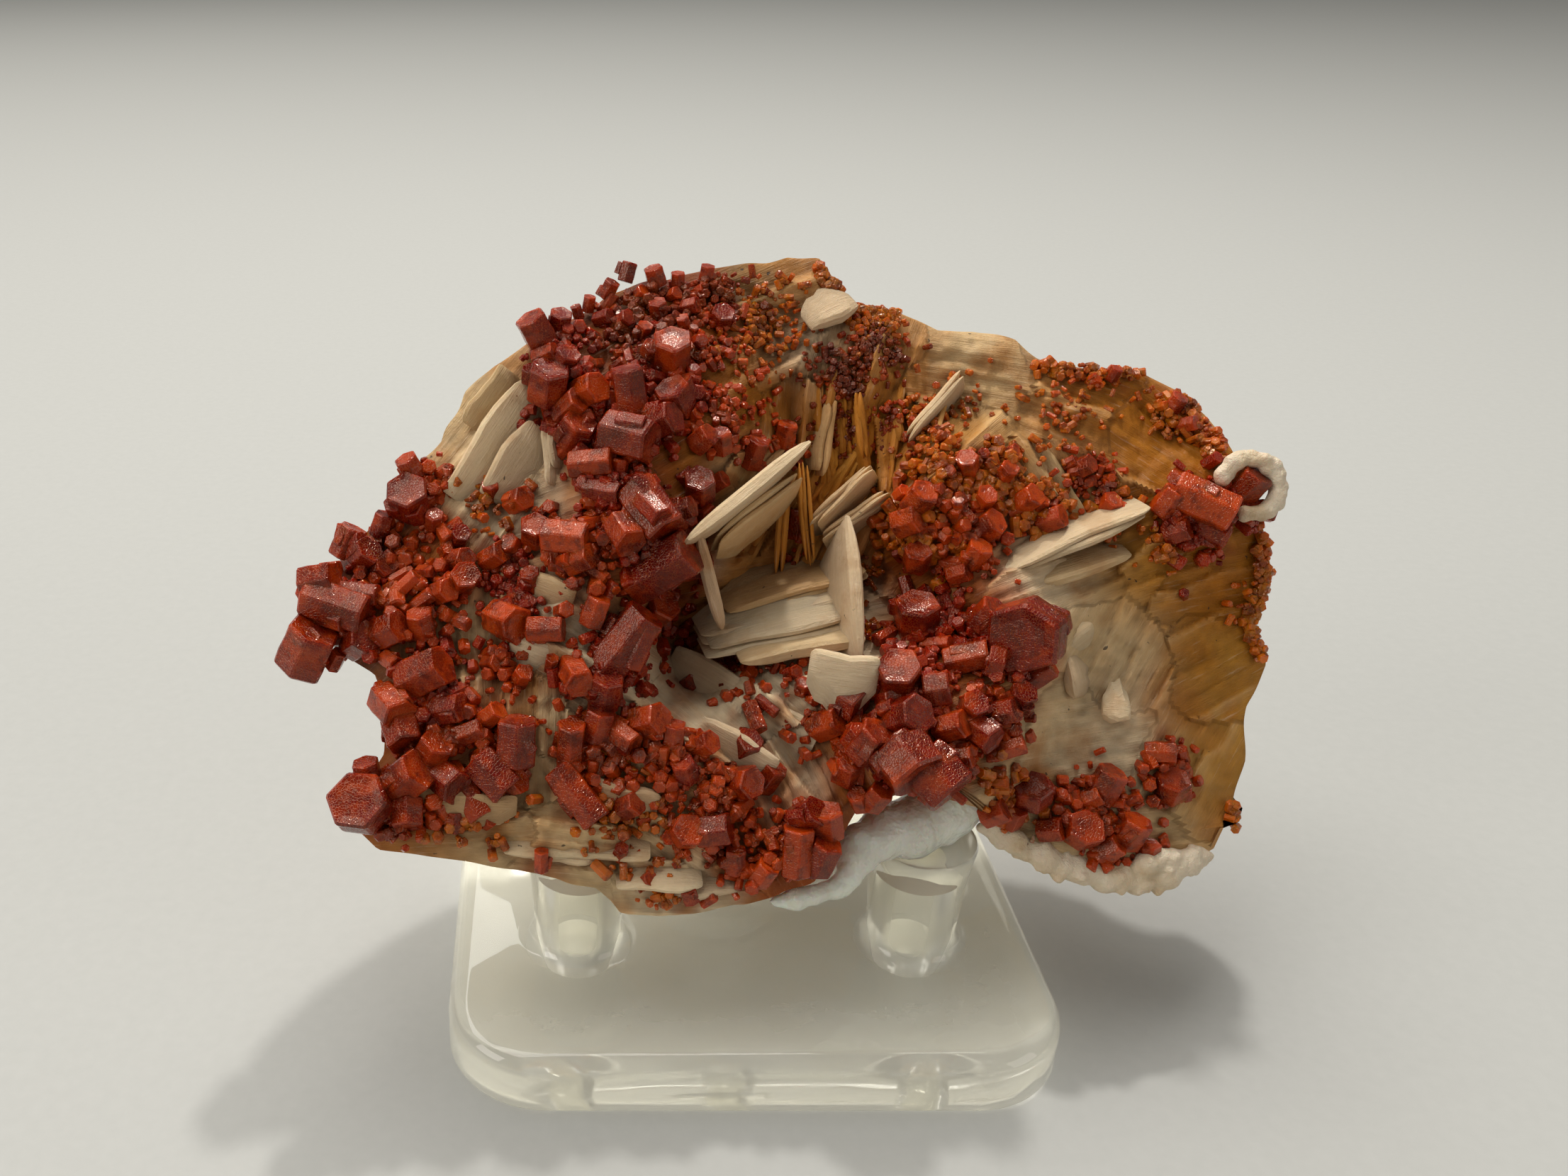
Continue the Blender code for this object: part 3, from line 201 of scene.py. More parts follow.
# Clusters of vanadinite: each crystal is (across, up, width, length, lean, toward)
CRYSTALS = {
    "vanadinite_left_tip": (
        (-31.2, -1.2, 3.2, 4.8, -18, 12), (-33.2, -4.2, 3.8, 3.6, 62, 28),
        (-29.6, -3.7, 2.5, 2.4, 30, 52),
        (-32.4, 0.5, 2.4, 2.6, 10, 20), (-29.4, 2.1, 2.3, 2.6, 40, 40), (-30.4, 3.2, 2.2, 2.4, 64, 10),
        (-27.6, -2.9, 2.5, 2.4, 22, 34), (-26.8, -0.2, 1.2, 3.4, 42, 8),
        (-25.3, -2.5, 2.0, 2.0, 100, 30),
        (-28.3, 1.2, 1.6, 1.8, 30, 40), (-26.2, 6.3, 3.2, 2.4, 96, 58), (-26.0, 8.4, 1.8, 1.8, 120, 30),
        (-24.4, 4.6, 1.5, 1.7, 80, 46), (-28.0, 4.4, 1.6, 1.8, 70, 20), (-31.2, -5.0, 1.2, 1.6, 60, 30),
        (-23.8, -0.3, 1.8, 1.9, 20, 50), (-27.4, -5.1, 1.3, 1.5, -30, 40),
        (-22.6, 3.6, 1.5, 1.5, 60, 60),
    ),
    "vanadinite_lower_left": (
        (-25.1, -5.9, 3.1, 3.6, 25, 26), (-27.3, -8.2, 2.7, 2.8, -42, 44),
        (-26.6, -10.0, 2.8, 2.2, -70, 30),
        (-23.4, -8.4, 2.2, 2.4, 10, 30), (-22.2, -10.2, 1.6, 3.0, 22, 20),
        (-24.4, -11.4, 2.6, 2.6, 60, 36),
        (-20.4, -8.9, 1.6, 1.8, 40, 30), (-29.5, -15.0, 4.2, 2.4, 112, 66),
        (-29.0, -12.9, 1.9, 1.9, 100, 20),
        (-26.2, -13.2, 3.1, 3.0, 40, 34), (-26.2, -15.7, 2.4, 2.0, -88, 24),
        (-21.7, -14.9, 1.9, 2.6, -58, 16),
        (-23.6, -13.4, 2.6, 2.8, -30, 40), (-18.6, -10.7, 2.9, 3.3, 88, 14),
        (-20.2, -13.0, 2.9, 3.2, -45, 14),
        (-22.9, -16.3, 1.1, 1.5, 90, 10), (-19.0, -13.6, 1.8, 2.0, 20, 40),
        (-24.2, -10.4, 1.0, 1.0, 60, 60),
        (-20.6, -16.4, 0.8, 1.0, 40, 50), (-16.9, -19.0, 1.1, 1.6, 90, 20),
    ),
    "vanadinite_middle_left": (
        (-17.3, 3.9, 2.3, 2.0, 90, 56), (-15.1, 3.6, 2.5, 3.4, -6, 22), (-16.0, 1.9, 1.2, 1.2, 30, 66),
        (-17.6, 0.5, 1.6, 1.8, 100, 40), (-19.4, -2.3, 2.8, 2.8, -20, 50),
        (-22.3, 0.6, 2.2, 2.0, 60, 60),
        (-20.2, 2.2, 1.8, 2.0, 30, 40), (-16.6, -2.9, 1.9, 2.6, 0, 14), (-14.2, 2.0, 2.0, 2.2, 20, 40),
        (-22.6, 2.0, 1.8, 1.8, 10, 50), (-20.4, 6.8, 1.4, 1.5, 100, 50), (-18.5, 6.1, 1.9, 1.8, 20, 50),
        (-18.6, 9.2, 1.2, 1.3, 60, 50), (-17.6, 10.5, 0.9, 1.0, 80, 40),
        (-18.9, 2.9, 1.5, 1.5, 130, 50),
        (-20.3, -5.2, 1.5, 1.5, 10, 50), (-18.3, -6.2, 1.4, 1.5, 60, 46),
        (-16.2, -5.3, 1.0, 1.3, 80, 40),
        (-18.6, -0.9, 1.0, 1.1, 40, 50),
    ),
    "vanadinite_upper_left": (
        (-17.2, 17.9, 2.5, 2.5, 122, 30), (-15.6, 18.4, 1.9, 1.9, 80, 40),
        (-16.4, 14.3, 3.1, 2.8, 82, 42),
        (-15.2, 15.8, 1.8, 1.8, 60, 46), (-13.6, 13.7, 2.4, 2.4, 20, 50),
        (-14.9, 12.6, 2.2, 2.4, 40, 40),
        (-14.5, 10.9, 2.7, 2.4, 60, 46), (-10.8, 10.6, 3.4, 3.8, -18, 26),
        (-10.7, 13.2, 2.5, 4.6, 100, 22),
        (-7.8, 16.4, 3.0, 2.8, 92, 48), (-9.4, 16.3, 1.7, 1.8, 60, 50), (-7.6, 13.2, 2.8, 2.4, 120, 40),
        (-8.6, 11.6, 2.6, 2.6, 20, 40), (-13.4, 8.7, 2.0, 3.2, 4, 20), (-12.6, 6.7, 1.8, 2.8, -10, 26),
        (-16.6, 16.2, 1.6, 1.8, 20, 30), (-16.0, 11.3, 1.3, 1.4, 100, 50),
        (-15.4, 9.5, 1.0, 1.2, 40, 50),
    ),
    "vanadinite_crest": (
        (-10.9, 22.0, 1.3, 1.5, 74, 10), (-9.0, 21.7, 1.5, 1.5, 110, 30),
        (-7.4, 21.4, 1.2, 1.3, 90, 30),
        (-5.4, 21.9, 1.2, 1.3, 80, 30), (-12.2, 20.8, 1.3, 1.4, 60, 30),
        (-11.2, 18.6, 1.5, 1.5, 30, 46),
        (-8.8, 19.4, 1.5, 1.5, 100, 40), (-4.4, 18.8, 1.9, 1.7, 70, 60), (-6.6, 19.6, 1.4, 1.5, 10, 30),
        (-13.6, 19.8, 1.0, 1.2, 80, 30), (-14.4, 19.2, 0.9, 1.1, 110, 30),
        (-10.1, 20.4, 1.2, 1.3, 40, 40),
        (-7.8, 20.4, 1.1, 1.2, 20, 50), (-12.6, 18.8, 1.3, 1.4, 10, 40), (-9.8, 17.8, 1.3, 1.4, 70, 40),
        (-5.9, 20.6, 1.0, 1.1, 30, 40), (-7.0, 18.4, 1.1, 1.2, 110, 40),
    ),
    "vanadinite_centre_left": (
        (-9.3, 5.5, 3.3, 4.2, -56, 20), (-11.1, 3.8, 2.6, 2.4, -60, 40), (-8.6, 1.4, 3.9, 5.2, 30, 26),
        (-8.9, -1.5, 2.7, 2.6, 40, 48), (-11.3, -4.0, 3.2, 5.8, 52, 14),
        (-14.6, -6.1, 2.3, 2.6, -58, 56),
        (-6.4, 1.6, 2.4, 2.6, 10, 30), (-13.2, -1.6, 1.9, 2.2, 70, 20), (-12.4, -7.2, 2.4, 2.4, 80, 30),
        (-7.2, 5.4, 1.8, 2.0, 20, 30),
    ),
    "vanadinite_spear_top": (
        (-5.9, 7.0, 2.5, 2.3, 96, 54), (-4.7, 7.3, 1.5, 1.6, 30, 30), (-2.1, 9.4, 1.9, 2.3, 70, 30),
        (-5.6, 10.3, 1.8, 1.8, 40, 40), (0.1, 10.7, 1.7, 1.9, 80, 30), (-4.4, 10.2, 1.6, 1.8, 100, 40),
        (-6.2, 11.9, 1.0, 1.1, 50, 50), (-5.8, 5.2, 1.9, 2.0, -30, 40),
    ),
    "vanadinite_lower_middle": (
        (-14.9, -11.0, 2.1, 3.5, 86, 28), (-14.4, -14.4, 2.5, 4.6, -52, 12),
        (-13.0, -9.5, 2.2, 2.3, 76, 20),
        (-11.2, -10.3, 1.9, 2.3, -35, 32), (-9.4, -9.2, 2.4, 2.4, 20, 46),
        (-7.7, -10.4, 1.5, 2.2, 86, 26),
        (-2.9, -13.6, 2.5, 2.4, 16, 56), (-2.7, -11.0, 2.1, 2.0, 60, 50),
        (-5.6, -10.9, 1.8, 1.8, 30, 46),
        (-6.9, -12.7, 1.8, 1.8, 110, 36), (-1.0, -13.2, 1.8, 2.2, 60, 30),
        (-10.9, -15.2, 1.8, 2.0, 30, 40),
        (-10.6, -13.2, 0.7, 1.3, 80, 30), (-6.7, -6.7, 1.3, 1.4, 40, 60),
        (-4.4, -6.0, 1.3, 1.4, 100, 50),
        (-2.1, -9.0, 1.3, 2.3, -70, 30), (-1.2, -8.2, 0.9, 1.9, -40, 24),
        (-2.4, -6.0, 1.0, 1.1, 60, 50),
        (0.6, -5.9, 1.1, 1.2, 30, 60), (1.3, -6.9, 1.2, 1.3, 90, 50),
    ),
    "vanadinite_bottom": (
        (0.9, -18.3, 2.3, 3.6, 88, 14), (2.6, -18.7, 2.3, 2.6, 70, 30), (1.5, -15.9, 2.4, 2.4, 40, 40),
        (3.0, -16.4, 2.4, 2.4, 100, 30), (-6.8, -17.0, 2.5, 1.8, 60, 66),
        (-4.9, -16.8, 2.4, 2.4, 10, 20),
        (-1.4, -19.9, 1.8, 1.8, 60, 30), (-3.4, -19.0, 1.6, 1.9, 90, 20),
        (-9.6, -20.4, 1.2, 1.3, 40, 50),
        (-11.4, -18.4, 1.1, 1.3, 80, 50), (-6.6, -21.4, 1.2, 1.3, 110, 30),
    ),
    "vanadinite_right_middle": (
        (17.0, -3.2, 5.2, 2.6, 205, 48), (12.8, -4.8, 2.3, 3.2, 15, 24),
        (14.7, -5.2, 2.5, 1.2, -15, 12),
        (9.3, -2.0, 3.2, 2.9, 100, 40), (14.2, -2.0, 2.2, 2.2, 60, 40), (8.1, -6.2, 3.3, 3.2, 110, 50),
        (10.7, -7.0, 2.5, 1.8, 10, 20), (8.6, -8.9, 2.9, 2.6, 32, 60), (13.1, -8.3, 2.0, 2.0, 80, 60),
        (15.3, -8.6, 2.0, 2.0, 20, 40), (16.5, -7.7, 1.9, 2.0, 80, 54),
        (13.7, -10.0, 2.3, 2.4, -40, 40),
        (15.6, -11.1, 1.6, 2.4, 20, 20), (8.7, -12.1, 4.4, 2.8, -58, 34),
        (10.7, -13.2, 3.9, 3.0, -50, 22),
        (6.0, -10.8, 2.7, 2.7, 60, 36), (3.1, -9.5, 2.4, 2.4, 30, 44), (4.3, -7.9, 2.7, 2.6, -30, 36),
        (4.4, -12.8, 1.8, 1.8, 90, 40), (6.4, -14.6, 1.9, 1.9, 60, 40), (5.2, -14.8, 1.5, 1.6, 120, 40),
        (17.8, -5.8, 2.0, 2.0, 40, 30), (12.2, -11.8, 1.7, 1.9, 10, 30), (11.6, -9.6, 2.2, 2.2, 20, 40),
        (1.6, 0.0, 1.5, 1.6, 60, 40), (3.9, 3.8, 1.1, 1.2, 20, 50), (0.9, 4.5, 1.5, 2.4, 84, 20),
        (10.6, -3.9, 1.2, 2.2, 8, 40),
    ),
    "vanadinite_upper_right": (
        (9.4, 6.2, 2.6, 2.4, 60, 50), (8.7, 4.6, 2.6, 2.4, 20, 50), (9.3, 2.1, 2.3, 2.2, 100, 50),
        (14.2, 4.3, 2.4, 2.2, 40, 50), (13.4, 2.3, 2.2, 2.2, 70, 40), (12.2, 1.0, 1.8, 1.8, 20, 40),
        (13.9, 6.2, 1.9, 1.9, 70, 60), (17.0, 6.2, 2.2, 2.0, 40, 50), (18.6, 4.8, 2.2, 2.2, 20, 40),
        (12.8, 8.6, 2.0, 2.0, 120, 50), (15.4, 8.0, 1.8, 1.8, 60, 50), (20.8, 8.4, 1.8, 1.9, 30, 50),
        (22.6, 5.7, 1.8, 1.9, 70, 50), (15.8, 9.5, 1.1, 1.2, 30, 50), (23.0, 14.9, 1.1, 1.3, 70, 40),
        (21.6, 14.4, 0.9, 1.0, 40, 50),
    ),
    "vanadinite_far_right": (
        (29.2, 6.0, 3.3, 4.6, -28, 16), (32.3, 7.1, 2.5, 2.6, 60, 40), (29.9, 3.9, 2.0, 2.2, -30, 30),
        (26.8, 6.0, 2.0, 2.2, 60, 30), (33.2, 5.4, 1.7, 2.0, -10, 10), (27.4, 3.9, 1.7, 1.8, 20, 40),
        (27.2, 12.8, 1.5, 1.6, 60, 40), (28.0, 11.4, 1.3, 1.6, 10, 50),
    ),
    "vanadinite_lower_right": (
        (17.2, -14.2, 2.9, 1.8, 100, 44), (14.6, -15.7, 1.8, 1.8, 30, 30),
        (16.0, -15.9, 1.7, 1.8, 80, 40),
        (20.8, -16.9, 2.8, 1.8, 80, 62), (24.2, -17.0, 2.3, 2.4, 70, 30),
        (22.6, -18.2, 1.9, 1.9, 40, 30),
        (18.6, -16.8, 1.8, 1.8, 10, 40), (25.4, -18.4, 1.6, 1.7, 100, 30),
        (26.2, -11.4, 1.6, 2.2, 0, 20),
        (26.9, -13.8, 2.6, 2.0, 90, 44), (22.4, -13.7, 2.3, 2.6, 70, 26),
        (21.4, -14.6, 1.6, 1.6, 30, 30),
    ),
}

# How much more orange some clusters are than the rest
WARMTH = {
    "vanadinite_upper_right": 0.60, "vanadinite_lower_right": 0.25, "vanadinite_middle_left": 0.25,
    "vanadinite_spear_top": 0.20, "vanadinite_left_tip": 0.05, "vanadinite_crest": -0.15,
}

# How large a cluster's crystals are drawn, as a share of the listed size, and where that differs
DRAWN_SIZE = 0.97
SIZES = {"vanadinite_upper_right": 0.86}

# Fine crystals over the rock: (across, up, reach, how many, smallest and largest width in mm, colour)
DRUSES = (
    (-31, -2, 3.5, 110, 0.4, 1.2, RED), (-27, 2, 3.5, 120, 0.4, 1.3, ORANGE),
    (-25, 7, 2.2, 60, 0.4, 1.1, ORANGE), (-24, -2, 3.0, 60, 0.4, 1.2, ORANGE),
    (-20.5, 6.2, 2.4, 60, 0.3, 1.0, GOLD), (-19, 0, 3.2, 90, 0.4, 1.2, RED),
    (-25, -8, 3.2, 110, 0.4, 1.3, RED), (-25, -13, 3.6, 130, 0.4, 1.3, ORANGE),
    (-20, -11, 2.6, 70, 0.4, 1.2, ORANGE), (-28, -16, 2.2, 60, 0.4, 1.1, ORANGE),
    (-22, -15.5, 3.0, 70, 0.4, 1.0, GOLD), (-19, -5, 2.6, 50, 0.4, 1.1, ORANGE),
    (-14, 3, 3.4, 110, 0.4, 1.3, ORANGE), (-12, 8, 3.4, 120, 0.4, 1.3, RED),
    (-15, 12, 3.2, 130, 0.4, 1.3, RED), (-9, 14, 3.6, 150, 0.4, 1.3, RED),
    (-16, 17, 2.6, 90, 0.4, 1.2, RED), (-10, 19, 4.0, 260, 0.3, 1.0, BROWN),
    (-5, 21, 2.2, 110, 0.3, 0.8, BROWN), (-5, 17.5, 2.8, 110, 0.3, 0.8, ORANGE),
    (-1, 18.5, 3.2, 160, 0.3, 0.7, GOLD), (-4, 13, 3.0, 120, 0.3, 0.8, ORANGE),
    (-9, 4, 3.0, 90, 0.4, 1.2, RED), (-9, -2, 3.0, 90, 0.4, 1.3, RED),
    (-12, -6, 3.2, 100, 0.4, 1.2, RED), (-13, -11, 3.2, 110, 0.4, 1.2, ORANGE),
    (-8, -12, 2.6, 60, 0.4, 1.1, ORANGE), (-4, -13.6, 2.2, 60, 0.4, 1.1, ORANGE),
    (-11, -16, 3.6, 80, 0.4, 1.0, GOLD), (-5, -17, 3.4, 110, 0.4, 1.1, ORANGE),
    (1, -18, 3.2, 150, 0.4, 1.1, ORANGE), (-9, -21, 2.6, 40, 0.3, 0.8, GOLD),
    (4, 15, 2.2, 130, 0.3, 0.6, BROWN), (6.4, 16.5, 2.2, 140, 0.3, 0.6, BROWN),
    (7, 19, 2.0, 80, 0.3, 0.6, GOLD), (4, 11, 2.0, 90, 0.3, 0.6, BROWN),
    (7, 11, 2.2, 110, 0.3, 0.6, ORANGE), (10, 11.5, 2.2, 100, 0.3, 0.6, GOLD),
    (11, 8, 2.6, 130, 0.3, 0.9, GOLD), (8.6, 4, 2.8, 130, 0.4, 1.1, GOLD),
    (13, 4, 3.2, 140, 0.4, 1.1, ORANGE), (15, 8, 2.6, 130, 0.4, 1.0, GOLD),
    (18, 5.4, 2.2, 90, 0.4, 1.0, GOLD), (21.5, 7.6, 1.8, 60, 0.3, 0.9, ORANGE),
    (23, 5, 1.8, 50, 0.3, 0.9, GOLD), (11, -2.5, 3.6, 120, 0.4, 1.2, RED),
    (15.5, -4.5, 2.8, 90, 0.4, 1.2, RED), (8.5, -7, 3.0, 120, 0.4, 1.2, RED),
    (14, -9, 3.2, 120, 0.4, 1.1, ORANGE), (4.2, -9.5, 3.0, 120, 0.4, 1.2, ORANGE),
    (7.4, -12.2, 3.2, 110, 0.4, 1.1, RED), (12, -12, 2.2, 50, 0.4, 0.9, ORANGE),
    (16, -14.6, 2.4, 70, 0.4, 1.0, GOLD), (21, -15, 2.8, 70, 0.4, 1.0, ORANGE),
    (23.5, -17.4, 2.6, 80, 0.4, 1.0, ORANGE), (26.6, -12.6, 2.2, 50, 0.4, 1.1, ORANGE),
    (28.5, 4.6, 2.8, 110, 0.4, 1.2, RED), (32.4, 6, 1.8, 60, 0.4, 1.0, RED),
    (26.6, 3, 1.8, 60, 0.3, 0.8, GOLD), (27, 12.2, 2.2, 80, 0.3, 0.8, GOLD),
    (30.2, 10, 1.4, 50, 0.3, 0.7, GOLD), (33.4, -1, 2.2, 50, 0.3, 0.6, GOLD),
    (5.6, 1, 1.2, 40, 0.3, 0.5, GOLD), (5.6, -2.6, 1.2, 30, 0.3, 0.5, GOLD),
    (0, 1.6, 2.2, 30, 0.3, 0.7, ORANGE), (-3, -4, 2.4, 30, 0.3, 0.7, ORANGE),
    (1, -6, 2.6, 36, 0.3, 0.8, ORANGE), (-4, -6.4, 2.2, 46, 0.3, 0.9, ORANGE),
    (17, -19, 2.4, 16, 0.3, 0.6, WHITE), (0, 9.6, 2.0, 60, 0.3, 0.7, ORANGE),
    (12.5, 13, 2.4, 30, 0.3, 0.6, GOLD), (20, 12, 4.5, 90, 0.3, 0.6, GOLD),
)

# Rows of golden beads along the rim: (from, to, how far in at most, how many)
RIM_BEADS = (
    ((27.4, 13.8), (31.0, 9.8), 1.6, 90), ((17.8, 15.9), (25.0, 15.0), 1.4, 50),
    ((34.0, 1.5), (32.8, 7.4), 1.0, 34),
    ((32.8, -2.6), (34.0, 1.5), 0.9, 60), ((33.6, -5.2), (32.8, -2.6), 0.7, 26),
    ((2.4, 22.8), (4.8, 19.5), 1.2, 60),
    ((4.8, 19.5), (8.2, 19.2), 1.6, 90), ((31.4, -14.8), (31.6, -17.2), 0.7, 14),
)
LATHS_FROM = 0.6  # laths are scattered round the places in GRAIN that stand at least this proud
SMALL_LATHS = 40  # how many round each

# Pale crust: (across, up, out, radius)
EDGE_CRUST = (
    (14.6, -16.9, -3.2, 0.9), (17.0, -18.3, -3.2, 1.1), (19.2, -19.1, -3.4, 1.2),
    (21.4, -19.7, -3.6, 1.2),
    (23.6, -20.3, -3.8, 1.3), (25.8, -20.5, -4.0, 1.2), (27.2, -19.4, -4.0, 1.2),
    (28.8, -18.6, -4.4, 0.9),
    (27.0, -18.9, -3.6, 0.9), (25.2, -19.2, -3.2, 0.9),
)
RING_CENTRE = (32.5, 7.1, -4.6)
RING_RADIUS = 2.0
RING_THICKNESS = 0.58

GLUE = (
    (12.4, -13.8, -3.4, 2.3), (11.2, -15.8, -4.2, 2.2), (9.2, -16.4, -3.8, 2.3),
    (7.2, -16.9, -3.0, 2.0),
    (5.6, -17.8, -1.6, 1.5), (4.8, -19.2, -1.2, 1.3), (4.2, -20.8, -0.8, 1.0), (2.7, -21.2, -0.6, 0.9),
    (1.0, -21.7, -0.4, 0.9), (-0.4, -21.8, -0.4, 0.6),
)

# The stand
PLATE_WIDTH, PLATE_DEPTH, PLATE_THICKNESS = 44.4, 38.0, 4.5
PLATE_CORNER, PLATE_EDGE = 7.2, 1.5
POSTS = ((-12.65, -5.8), (12.65, -5.8), (0.0, 8.5))
POST_TOP_Z, POST_FOOT, POST_HEAD, POST_FILLET = 14.0, 3.3, 4.0, 1.4
BORE_RADIUS, BORE_TOP_Z = 1.7, 10.5
ROUND_SIDES = 48
FLOOR_Z = -0.0001  # in metres, just under the stand, so that the two faces don't coincide
FLOOR_REACH = 3.0  # in metres

# Where each light stands and where it points, in metres, its width and height, power and colour
LIGHTS = (
    ("ceiling", (-0.30, 0.32, 0.98), (0, 0.02, 0), (1.2, 0.9), 12.0, (1.0, 0.985, 0.95)),
    ("left", (-0.85, -0.40, 0.42), (0, 0, 0.03), (0.50, 0.50), 2.9, (1.0, 0.98, 0.95)),
    ("right", (0.80, -0.45, 0.35), (0, 0, 0.03), (0.50, 0.50), 1.1, (1.0, 0.98, 0.95)),
    ("glint", (0.06, 0.22, 0.50), (0, 0, 0.03), (0.03, 0.03), 1.10, (1.0, 0.98, 0.95)),
)
GLOW_COLOUR, GLOW_STRENGTH = (0.86, 0.85, 0.82, 1.0), 0.27


def on_face(places):
    """The points, in millimetres in the object's own frame, of places on the face."""
    places = np.asarray(places, float)
    depth = PLANE_DEPTH - places[..., 2:3]
    share = depth / PLANE_DEPTH
    beside = RIGHT * (places[..., 0:1] + SIGHT_AXIS_LEFT) + UP * places[..., 1:2]
    return EYE + LOOK * depth + beside * share


def relief(across, up):
    """How far out the rock's face stands."""
    across, up = np.asarray(across, float), np.asarray(up, float)
    away = (across[..., None] - RELIEF[:, 0]) ** 2 + (up[..., None] - RELIEF[:, 1]) ** 2
    share = np.exp(-away / (2 * RELIEF_REACH**2)) + 1e-4 / (1 + away)
    return (share * RELIEF[:, 2]).sum(-1) / share.sum(-1)


def noise(x, y, seed=0):
    """Smooth noise over a plane, from -1 to 1."""
    column, row = np.floor(x), np.floor(y)
    right, above = x - column, y - row
    right, above = right * right * (3 - 2 * right), above * above * (3 - 2 * above)

    def corner(i, j):
        value = np.sin((column + i) * 127.1 + (row + j) * 311.7 + seed * 74.7) * 43758.5453
        return 2 * (value - np.floor(value)) - 1

    low = corner(0, 0) * (1 - right) + corner(1, 0) * right
    high = corner(0, 1) * (1 - right) + corner(1, 1) * right
    return low * (1 - above) + high * above


def rim_reach(angles):
    """How far the outline is from its centre in each direction."""
    corners = np.array(OUTLINE) - CENTRE
    reach = np.zeros(len(angles))
    for first, second in zip(corners, np.roll(corners, -1, axis=0)):
        edge = second - first
        way = np.stack((np.cos(angles), np.sin(angles)), -1)
        turn = way[:, 0] * edge[1] - way[:, 1] * edge[0]
        turn[np.abs(turn) < 1e-9] = 1e-9
        far = (first[0] * edge[1] - first[1] * edge[0]) / turn
        place = ((way * far[:, None] - first) @ edge) / (edge @ edge)
        hit = (far > 0) & (place >= -1e-6) & (place <= 1 + 1e-6)
        reach[hit] = np.maximum(reach[hit], far[hit])
    return reach


def grain(across, up):
    """Each place's lath direction, in radians, and how proud its laths stand."""
    warp_across = across + 1.4 * noise(across * 0.35, up * 0.35, 3)
    warp_up = up + 1.4 * noise(across * 0.35, up * 0.35, 4)
    away = (warp_across[..., None] - GRAIN[:, 0]) ** 2 + (warp_up[..., None] - GRAIN[:, 1]) ** 2
    nearest = away.argmin(-1)
    return np.radians(GRAIN[nearest, 2]), GRAIN[nearest, 3]


def terraces(along, beside, wide):
    """Overlapping plates along the grain: how far each place has risen to its plate's free edge."""
    phase = beside / wide + 0.45 * noise(along * 0.13, beside * 0.2, 7)
    phase = phase + 0.10 * noise(along * 0.6, beside * 0.5, 12)
    plate = np.floor(phase)
    share = phase - plate
    height = 0.62 + 0.38 * np.sin(plate * 91.7 + np.floor(along / 9 + plate * 0.37) * 37.1)
    drop = np.clip((1 - share) / 0.10, 0, 1)
    return share**1.3 * drop * height


def mixed(first, second, share):
    """Two colours, or fields of colours, mixed by the second one's share at each place."""
    share = np.asarray(share)[..., None]
    return np.asarray(first) * (1 - share) + np.asarray(second) * share


ALL_CRYSTALS = np.array([crystal[:3] for group in CRYSTALS.values() for crystal in group])


def rock_tone(across, up, seed=0):
    """The rock's colour: broad mottled patches, redder where the crystals stand."""
    across, up = np.asarray(across, float), np.asarray(up, float)
    total, weight = 0.0, 0.0
    for centre_across, centre_up, reach, colour in ROCK_TONES:
        away = (across - centre_across) ** 2 + (up - centre_up) ** 2
        share = np.exp(-away / (1.1 * reach**2)) + 1e-5 / (1 + away)
        total = total + share[..., None] * np.array(colour)
        weight = weight + share
    tone = total / weight[..., None]
    gap = np.full(across.shape, 99.0)
    for crystal_across, crystal_up, width in ALL_CRYSTALS:
        gap = np.minimum(gap, np.hypot(across - crystal_across, up - crystal_up) - width / 2)
    near_crystal = np.clip((0.7 + 1.1 * noise(across * 0.8, up * 0.8, 11 + seed) - gap) / 1.6, 0, 0.5)
    tone = mixed(tone, STAIN, near_crystal)
    tone = mixed(tone, OCHRE, np.clip(noise(across * 0.45, up * 0.45, 17 + seed) - 0.35, 0, 1))
    # Painted light: the deeper the place lies in the hollow, the more it takes the brightened amber,
    # which lifts the hollow's shade
    depth = np.clip((HOLLOW_BELOW - relief(across, up)) / 2.0, 0, 0.9)
    tone = mixed(tone, HOLLOW_AMBER_GLOW, depth * (np.abs(across - HOLLOW_ACROSS) < HOLLOW_REACH))
    mottle = 1 + 0.16 * noise(across * 2.3, up * 2.3, 23 + seed)
    return np.clip(tone * mottle[..., None], 0.004, 0.95)


def placed(name, data):
    """A new object in the scene that shows a mesh, a light or a camera."""
    obj = bpy.data.objects.new(name, data)
    bpy.context.scene.collection.objects.link(obj)
    return obj


def meshed(name, points, faces):
    """A new mesh from points in metres."""
    mesh = bpy.data.meshes.new(name)
    mesh.from_pydata(points, [], faces)
    return mesh


def belongs(obj, node_name=None):
    """Ties an object to the body and hides the solid from the part that it stands for."""
    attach(obj, "root")
    if node_name:
        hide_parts(node_name)
    return obj


